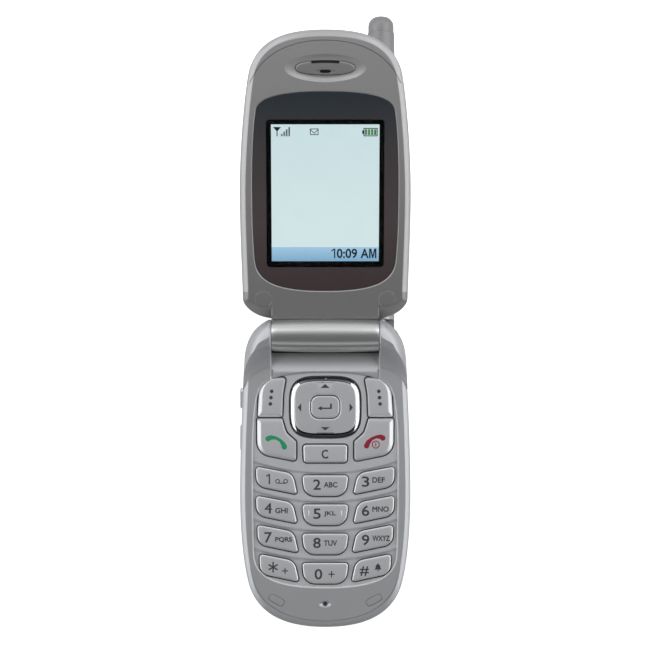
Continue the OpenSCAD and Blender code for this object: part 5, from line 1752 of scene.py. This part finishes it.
    def mask(self) -> bpy.types.Object:
        """The printed lens round the display."""
        lens = resampled(grown(resampled(lens_outline(), 300), -0.06), 240)
        top = self.lens_top
        obj = piece_of("lens_mask", Solid.stack(lens, [(FACE_W - 0.8, 0.0), (top - 0.14, 0.0),
                                                       (top - 0.04, -0.05), (top, -0.2)]), Place.LID)
        hole = resampled(rounded(box(*self.frame_black), [0.9] * 4, 8), 160)
        carve(obj, [Solid.slab(hole, -1, 2)], Place.LID)
        return coat(obj, 30, gradient_paint("lens_print", (
            (0.0, (0.058, 0.043, 0.045)), (0.35, (0.080, 0.064, 0.067)), (0.7, (0.062, 0.056, 0.060)),
            (1.0, (0.028, 0.037, 0.046))), lid_line(12.5, 66.1, FACE_W), 0.3))

    def window(self) -> bpy.types.Object:
        """The clear part of the lens over the display."""
        x0, x1, u0, u1 = self.frame_black
        pane = resampled(rounded(box(x0 + 0.01, x1 - 0.01, u0 + 0.01, u1 - 0.01), [0.89] * 4, 8), 160)
        obj = piece_of("lens_window", Solid.slab(pane, self.lens_top - 0.5, self.lens_top - 0.01), Place.LID)
        return coat(obj, 30, clear_window("clear_lens"))

    def plate(self, name: str, area: tuple[float, float, float, float], w: float, thick: float,
              radius: float = 0.05) -> bpy.types.Object:
        """A thin plate under the window."""
        return piece_of(name, Solid.slab(rounded(box(*area), [radius] * 4, 3), w - thick, w), Place.LID)

    def display(self) -> None:
        """The lit display and what it shows."""
        frame_w, screen_w = 0.28, 0.30
        bar_w = screen_w + 0.02
        x0, x1, u0, u1 = self.frame_black
        black = self.plate("display_frame", (x0 + 0.02, x1 - 0.02, u0 + 0.02, u1 - 0.02), frame_w, 0.4)
        seat(dress(black, Paint.FRAME_BLACK), "lid", "lens_dark")
        lit = gradient_paint("lit_screen", ((0.0, (0.66, 0.79, 0.80)), (0.5, (0.64, 0.78, 0.79)),
                                            (1.0, (0.60, 0.75, 0.77))), lid_line(*self.lcd[2:]), 0.4, glow=1.0)
        seat(dress(self.plate("display_screen", self.lcd, screen_w, 0.1), lit), "lid", "display")
        lit = gradient_paint("lit_bar", ((0.0, (0.20, 0.40, 0.60)), (1.0, (0.36, 0.58, 0.74))),
                             lid_line(20.6, 24.5), 0.4, glow=1.0)
        bar = self.plate("display_bar", (*self.lcd[:2], 20.62, 24.45), bar_w, 0.03)
        seat(dress(bar, lit), "lid", "display")
        self.icons(bar_w)

    def icons(self, w: float) -> None:
        """The clock and the three icons."""
        ink = Print("display_ink", Place.LID, 0.02, 0.01)
        one = flat_shape(figure_one(2.5))
        thickened(one, 0.06)
        ink.put(one, (2.2, 22.72))
        for text, x, width in (("0:09", 5.85, 5.5), ("A", 10.6, 2.1)):
            ink.put(lettering(text, width, 2.6, 0.07), (x, 22.72))
        ink.put(flat_shape([(-0.98, -1.3), (-0.58, -1.3), (-0.58, 0.6), (-0.16, -1.3), (0.16, -1.3),
                            (0.58, 0.6), (0.58, -1.3), (0.98, -1.3), (0.98, 1.3), (0.4, 1.3), (0, -0.45),
                            (-0.4, 1.3), (-0.98, 1.3)]), (12.78, 22.72))
        ink.put(flat_shape([(-13.9, 56.7), (-11.7, 56.7), (-12.8, 55.5)]))
        ink.put(flat_shape(box(-12.93, -12.67, 54.25, 55.9)))
        ink.put(self.hollow(-4.05, -1.8, 54.6, 56.3, 0.2))
        ink.put(flat_shape([(-4.0, 56.2), (-2.92, 55.2), (-1.85, 56.2), (-1.85, 55.95), (-2.92, 54.95),
                            (-4.0, 55.95)]))
        ink.put(self.hollow(10.15, 13.9, 54.25, 56.45, 0.22))
        ink.put(flat_shape(box(9.8, 10.15, 54.9, 55.8)))
        bars, cells = (Print(name, Place.LID, 0.02, 0.01) for name in ("display_signal", "display_battery"))
        for i in range(4):
            x = -11.75 + i * 0.66
            bars.put(flat_shape(box(x, x + 0.42, 54.25, 54.9 + 0.6 * i)))
            x = 10.5 + i * 0.82
            cells.put(flat_shape(box(x, x + 0.62, 54.6, 56.1)))
        for sheet, paint in ((ink, Paint.SCREEN_INK), (bars, Paint.SCREEN_GREY), (cells, Paint.SCREEN_GREEN)):
            stamp(sheet, lambda x, y: w, paint, "lid", "display")

    @staticmethod
    def hollow(x0: float, x1: float, y0: float, y1: float, t: float) -> bpy.types.Mesh:
        """A rectangular frame as a flat mesh."""
        outer, inner = box(x0, x1, y0, y1), box(x0 + t, x1 - t, y0 + t, y1 - t)
        mesh = bpy.data.meshes.new("frame")
        faces = [(i, (i + 1) % 4, 4 + (i + 1) % 4, 4 + i) for i in range(4)]
        mesh.from_pydata([(x, y, 0) for x, y in outer + inner], [], faces)
        return mesh

    def earpiece(self) -> bpy.types.Object:
        """The oval plate with its two sound slots."""
        rings = [[(x, u, FACE_W - w) for x, u in oval(7.8 - g, 1.85 - g * 0.8, 2.4, (0, self.ear_u), 96)]
                 for w, g in ((1.04, 0.0), (0.5, 0.0), (0.38, 0.05), (0.3, 0.2), (0.27, 0.45), (0.25, 1.4))]
        obj = piece_of("earpiece_plate", Solid.loft(rings), Place.LID)
        upper = flat_band([(x, self.ear_u + 1.62 - 0.012 * x * x) for x in (-3.4, -1.75, 0, 1.75, 3.4)],
                          [0.34] * 5)
        slot = (0, self.ear_u - 0.95)
        lower = Solid.stack(oval(2.75, 0.6, 2.6, slot, 48), [(0.5, -0.2), (0.75, 0.0), (2, 0.0)])
        carve(obj, [Solid.slab(upper, -1, 2), lower], Place.LID)
        carve(obj, [Solid.slab(oval(1.45, 0.42, 3, slot, 32), -1, 2)], Place.LID)
        coat(obj, 30, Paint.BEZEL_GREY, Paint.GAP)
        up = (to_row((0, 0, 1), Place.LID) - to_row((0, 0, 0), Place.LID)).normalized()
        # Painted shadow on the walls of the sound slots.
        for face in obj.data.polygons:
            if abs(face.normal.dot(up)) < 0.4 and abs(face.center.x) < 4.0 * MM:
                face.material_index = 1
        return obj

    def caps(self) -> bpy.types.Object:
        """The two round caps over the lid's screws."""
        r = self.cap_r - 0.07
        left, right = self.pair([(r, 0.0), (r, FACE_W - 0.1), (r - 0.1, FACE_W - 0.02), (r - 0.35, FACE_W),
                                 (0, FACE_W + 0.005)])
        obj = piece_of("cap_discs", left, Place.LID)
        carve(obj, [right], Place.LID, "UNION")
        # The caps share the bezel's grey with its painted shade.
        return coat(obj, 30, self.bezel_grey_with_painted_shade())

    def outer_window(self) -> bpy.types.Object:
        """The small display window on the cover."""
        pane = moved(rounded(box(-10, 10, -7.5, 7.5), [1.95] * 4, 10), self.outer_u)
        levels = [(self.back + w, g) for w, g in ((0.06, -0.25), (0.1, -0.08), (0.22, 0.0), (0.72, 0.0))]
        return coat(piece_of("outer_pane", Solid.stack(pane, levels), Place.LID), 30, Paint.OUTER_LENS)

    def build(self) -> None:
        """Makes and seats the lid."""
        seat(self.bezel(), "lid", "bezel_grey", "lid_bezel")
        seat(self.cover(), "lid", "bright_silver", "lid_cover")
        seat(self.barrel(), "lid", "bright_silver", "hinge_barrel")
        seat(self.mask(), "lid", "lens_dark", "display_lens")
        seat(self.window(), "lid", "lens_dark")
        self.display()
        seat(self.earpiece(), "lid", "bright_silver", "earpiece_trim")
        seat(self.caps(), "lid", "bezel_grey", "screw_caps")
        seat(self.outer_window(), "lid", "lens_dark", "outer_lens")


@dataclass
class Antenna:
    """Pull-out antenna: cap, rod and the collar in the boss."""

    cap_start: float = 109.1
    cap_r: float = 3.8
    cap_len: float = 20.0
    end_r: float = 2.7

    @staticmethod
    def turned(name: str, profile: Sequence[Point], start: float, n: int, paint: Paint) -> bpy.types.Object:
        """A closed profile of (radius, distance) turned about the antenna's axis and painted."""
        solid = Solid.spun(profile, "y", (ANTENNA_AXIS[0], start, ANTENNA_AXIS[1]), n)
        return coat(piece_of(name, solid, Place.BASE), 30, paint)

    def cap(self) -> bpy.types.Object:
        """The cap: a sleeve, a fine step, and a rounded end."""
        n, sleeve, r = self.cap_len, self.cap_r, self.end_r
        profile = [(1.0, 0.0), (sleeve - 0.55, 0.0), (sleeve - 0.2, 0.2), (sleeve, 0.8),
                   (sleeve - 0.1, n - 4.75), (sleeve - 0.16, n - 4.62), (sleeve - 0.3, n - 4.5),
                   (sleeve - 0.28, n - 4.35)]
        profile += arc(sleeve - 0.28 - r, n - r, r, 0, 90, 15)
        profile += [(0.5, n), (0, n), (0, 8.0), (1.0, 8.0), profile[0]]
        return self.turned("antenna_tip", profile, self.cap_start, 96, Paint.ANTENNA_GREY)

    def build(self) -> None:
        """Makes the cap and gives the metal parts their finish."""
        seat(self.cap(), "antenna", "body_grey", "antenna_cap")
        rod = [(0.98, 42.0), (0.98, 42.7), (1.25, 42.7), (1.25, 44.7), (1.0, 44.72), (1.0, 117.0)]
        seat(self.turned("antenna_shaft", rod, 0, 48, Paint.STEEL), "antenna", "steel", "antenna_rod")
        collar = [(1.06, 44.9), (2.27, 44.9), (2.27, 53.0), (3.0, 53.0), (3.1, 53.1), (3.1, 53.65),
                  (2.95, 53.8), (1.2, 53.8), (1.06, 53.65)]
        obj = self.turned("antenna_collar", collar + [collar[0]], 0, 64, Paint.STEEL)
        seat(obj, "base", "steel", "antenna_bushing")


class InnerParts:
    """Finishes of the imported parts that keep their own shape, most of them inside."""

    FINISHES = {
        Paint.BOARD: ("main_board", "lid_board"),
        Paint.STEEL: ("rf_shields", "microphone", "housing_screws", "hinge_cam_pin", "hinge_pivot_pin",
                      "hinge_cartridge", "vibration_motor", "lid_magnet", "lid_screws", "outer_display"),
        Paint.FILM: ("dome_sheet",),
        Paint.SILICONE: ("keypad_mat",),
        Paint.BLACK: ("io_connector", "headset_jack", "ringer_speaker", "nav_carrier", "earpiece_speaker"),
        Paint.GOLD: ("battery_contacts",),
        Paint.FLEX: ("flex_cable",),
        Paint.TUNGSTEN: ("motor_weight",),
        Paint.FRAME_BLACK: ("lcd_module",),
    }

    def build(self) -> None:
        """Puts each finish on its parts."""
        for paint, names in self.FINISHES.items():
            for name in names:
                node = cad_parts[name]
                if not node.data.materials:
                    node.data.materials.append(None)
                for i in range(len(node.material_slots)):
                    node.material_slots[i].material = paint.value.material()
                log.info("%s is finished as %s", name, paint.value.name)


# ---------------------------------------------------------------- studio

@dataclass
class Studio:
    """Camera, lamps, floor and surroundings."""

    distance: float = 0.5
    tilt: float = 2.5
    lens: float = 101.8
    picture: float = 650.0
    shift: Point = (-0.25, 10.5)
    world: float = 0.2
    lamps: tuple = (
        # name, place from the hinge, width and height of its face, power
        ("top_box", (0.0, 0.5, 0.42), (0.9, 0.45), 1.05),
        ("over_box", (0.0, 0.28, 0.62), (0.9, 0.3), 0.3),
        ("left_box", (-0.4, 0.16, 0.5), (0.9, 0.3), 1.35),
        ("right_box", (0.4, 0.16, 0.5), (0.9, 0.3), 1.35),
        ("left_strip", (-0.58, 0.0, 0.25), (1.0, 0.28), 1.9),
        ("right_strip", (0.58, 0.0, 0.25), (1.0, 0.28), 1.9),
        ("low_box", (0.0, -0.56, 0.32), (0.8, 0.2), 0.27),
        ("back_strip", (0.0, 0.62, 0.14), (1.0, 0.16), 0.45),
    )

    def camera(self) -> None:
        """Looks at the hinge from almost straight above."""
        t = math.radians(self.tilt)
        target = Vector(HINGE_MID) * MM
        back = Vector((0, -math.sin(t), math.cos(t)))
        up = Vector((0, math.cos(t), math.sin(t)))
        right = up.cross(back)
        data = bpy.data.cameras.new("view")
        obj = bpy.data.objects.new("view", data)
        bpy.context.scene.collection.objects.link(obj)
        obj.matrix_world = Matrix.Translation(target + back * self.distance) @ Matrix(
            (right, up, back)).transposed().to_4x4()
        data.lens = self.lens
        data.sensor_width = 36
        data.shift_x, data.shift_y = (v / self.picture for v in self.shift)
        data.clip_start = 0.01
        bpy.context.scene.camera = obj

    def lamp(self, name: str, at: Point3, size: Point, power: float) -> None:
        """One soft lamp that faces the hinge."""
        data = bpy.data.lights.new(name, "AREA")
        data.shape, data.size, data.size_y = "RECTANGLE", size[0], size[1]
        data.energy = power
        obj = bpy.data.objects.new(name, data)
        bpy.context.scene.collection.objects.link(obj)
        obj.location = Vector(HINGE_MID) * MM + Vector(at)
        obj.rotation_euler = (-Vector(at)).to_track_quat("-Z", "Y").to_euler()

    def floor(self) -> None:
        """The pale table top, which keeps the phone's soft shadow."""
        mesh = bpy.data.meshes.new("table_top")
        mesh.from_pydata([(x, y, 0) for x, y in ((-3, -3), (3, -3), (3, 3), (-3, 3))], [], [(0, 1, 2, 3)])
        obj = add_object("table_top", mesh)
        mat, s, shader = new_paint("pale_table")
        shader.inputs["Base Color"].default_value = (0.85, 0.85, 0.85, 1)
        shader.inputs["Roughness"].default_value = 0.8
        shader.inputs["Emission Color"].default_value = (1, 1, 1, 1)
        rays = s.add("ShaderNodeLightPath")
        glow = s.add("ShaderNodeMath", operation="MULTIPLY")
        s.link(rays.outputs["Is Camera Ray"], glow.inputs[0])
        glow.inputs[1].default_value = 0.75
        s.link(glow.outputs[0], shader.inputs["Emission Strength"])
        mesh.materials.append(mat)

    def surroundings(self) -> None:
        """A plain grey room that the camera sees as white."""
        world = bpy.data.worlds.new("room")
        bpy.context.scene.world = world
        world.use_nodes = True
        s = Sockets(world.node_tree)
        shade = world.node_tree.nodes["Background"]
        rays = s.add("ShaderNodeLightPath")
        level = s.add("ShaderNodeMix", data_type="FLOAT")
        s.link(rays.outputs["Is Camera Ray"], level.inputs["Factor"])
        level.inputs["A"].default_value = self.world
        level.inputs["B"].default_value = 1.0
        s.link(level.outputs["Result"], shade.inputs["Strength"])

    def build(self) -> None:
        """Sets up the whole studio."""
        self.camera()
        for name, at, size, power in self.lamps:
            self.lamp(name, at, size, power)
        self.floor()
        self.surroundings()
        bpy.context.scene.view_settings.view_transform = "Standard"


def main() -> None:
    """Builds the phone and its studio."""
    logging.basicConfig(level=logging.INFO)
    Studio().build()
    keypad = Keypad()
    pad = NavigationPad()
    openings = [key.outline for key in keypad.keys.values()] + [pad.outline(0.05)]
    FrontShell(openings=[resampled(o, 120) for o in openings]).build()
    SideKeys().build()
    RearShell().build()
    keypad.build()
    pad.build()
    Lid().build()
    Antenna().build()
    InnerParts().build()


if __name__ == "__main__":
    main()
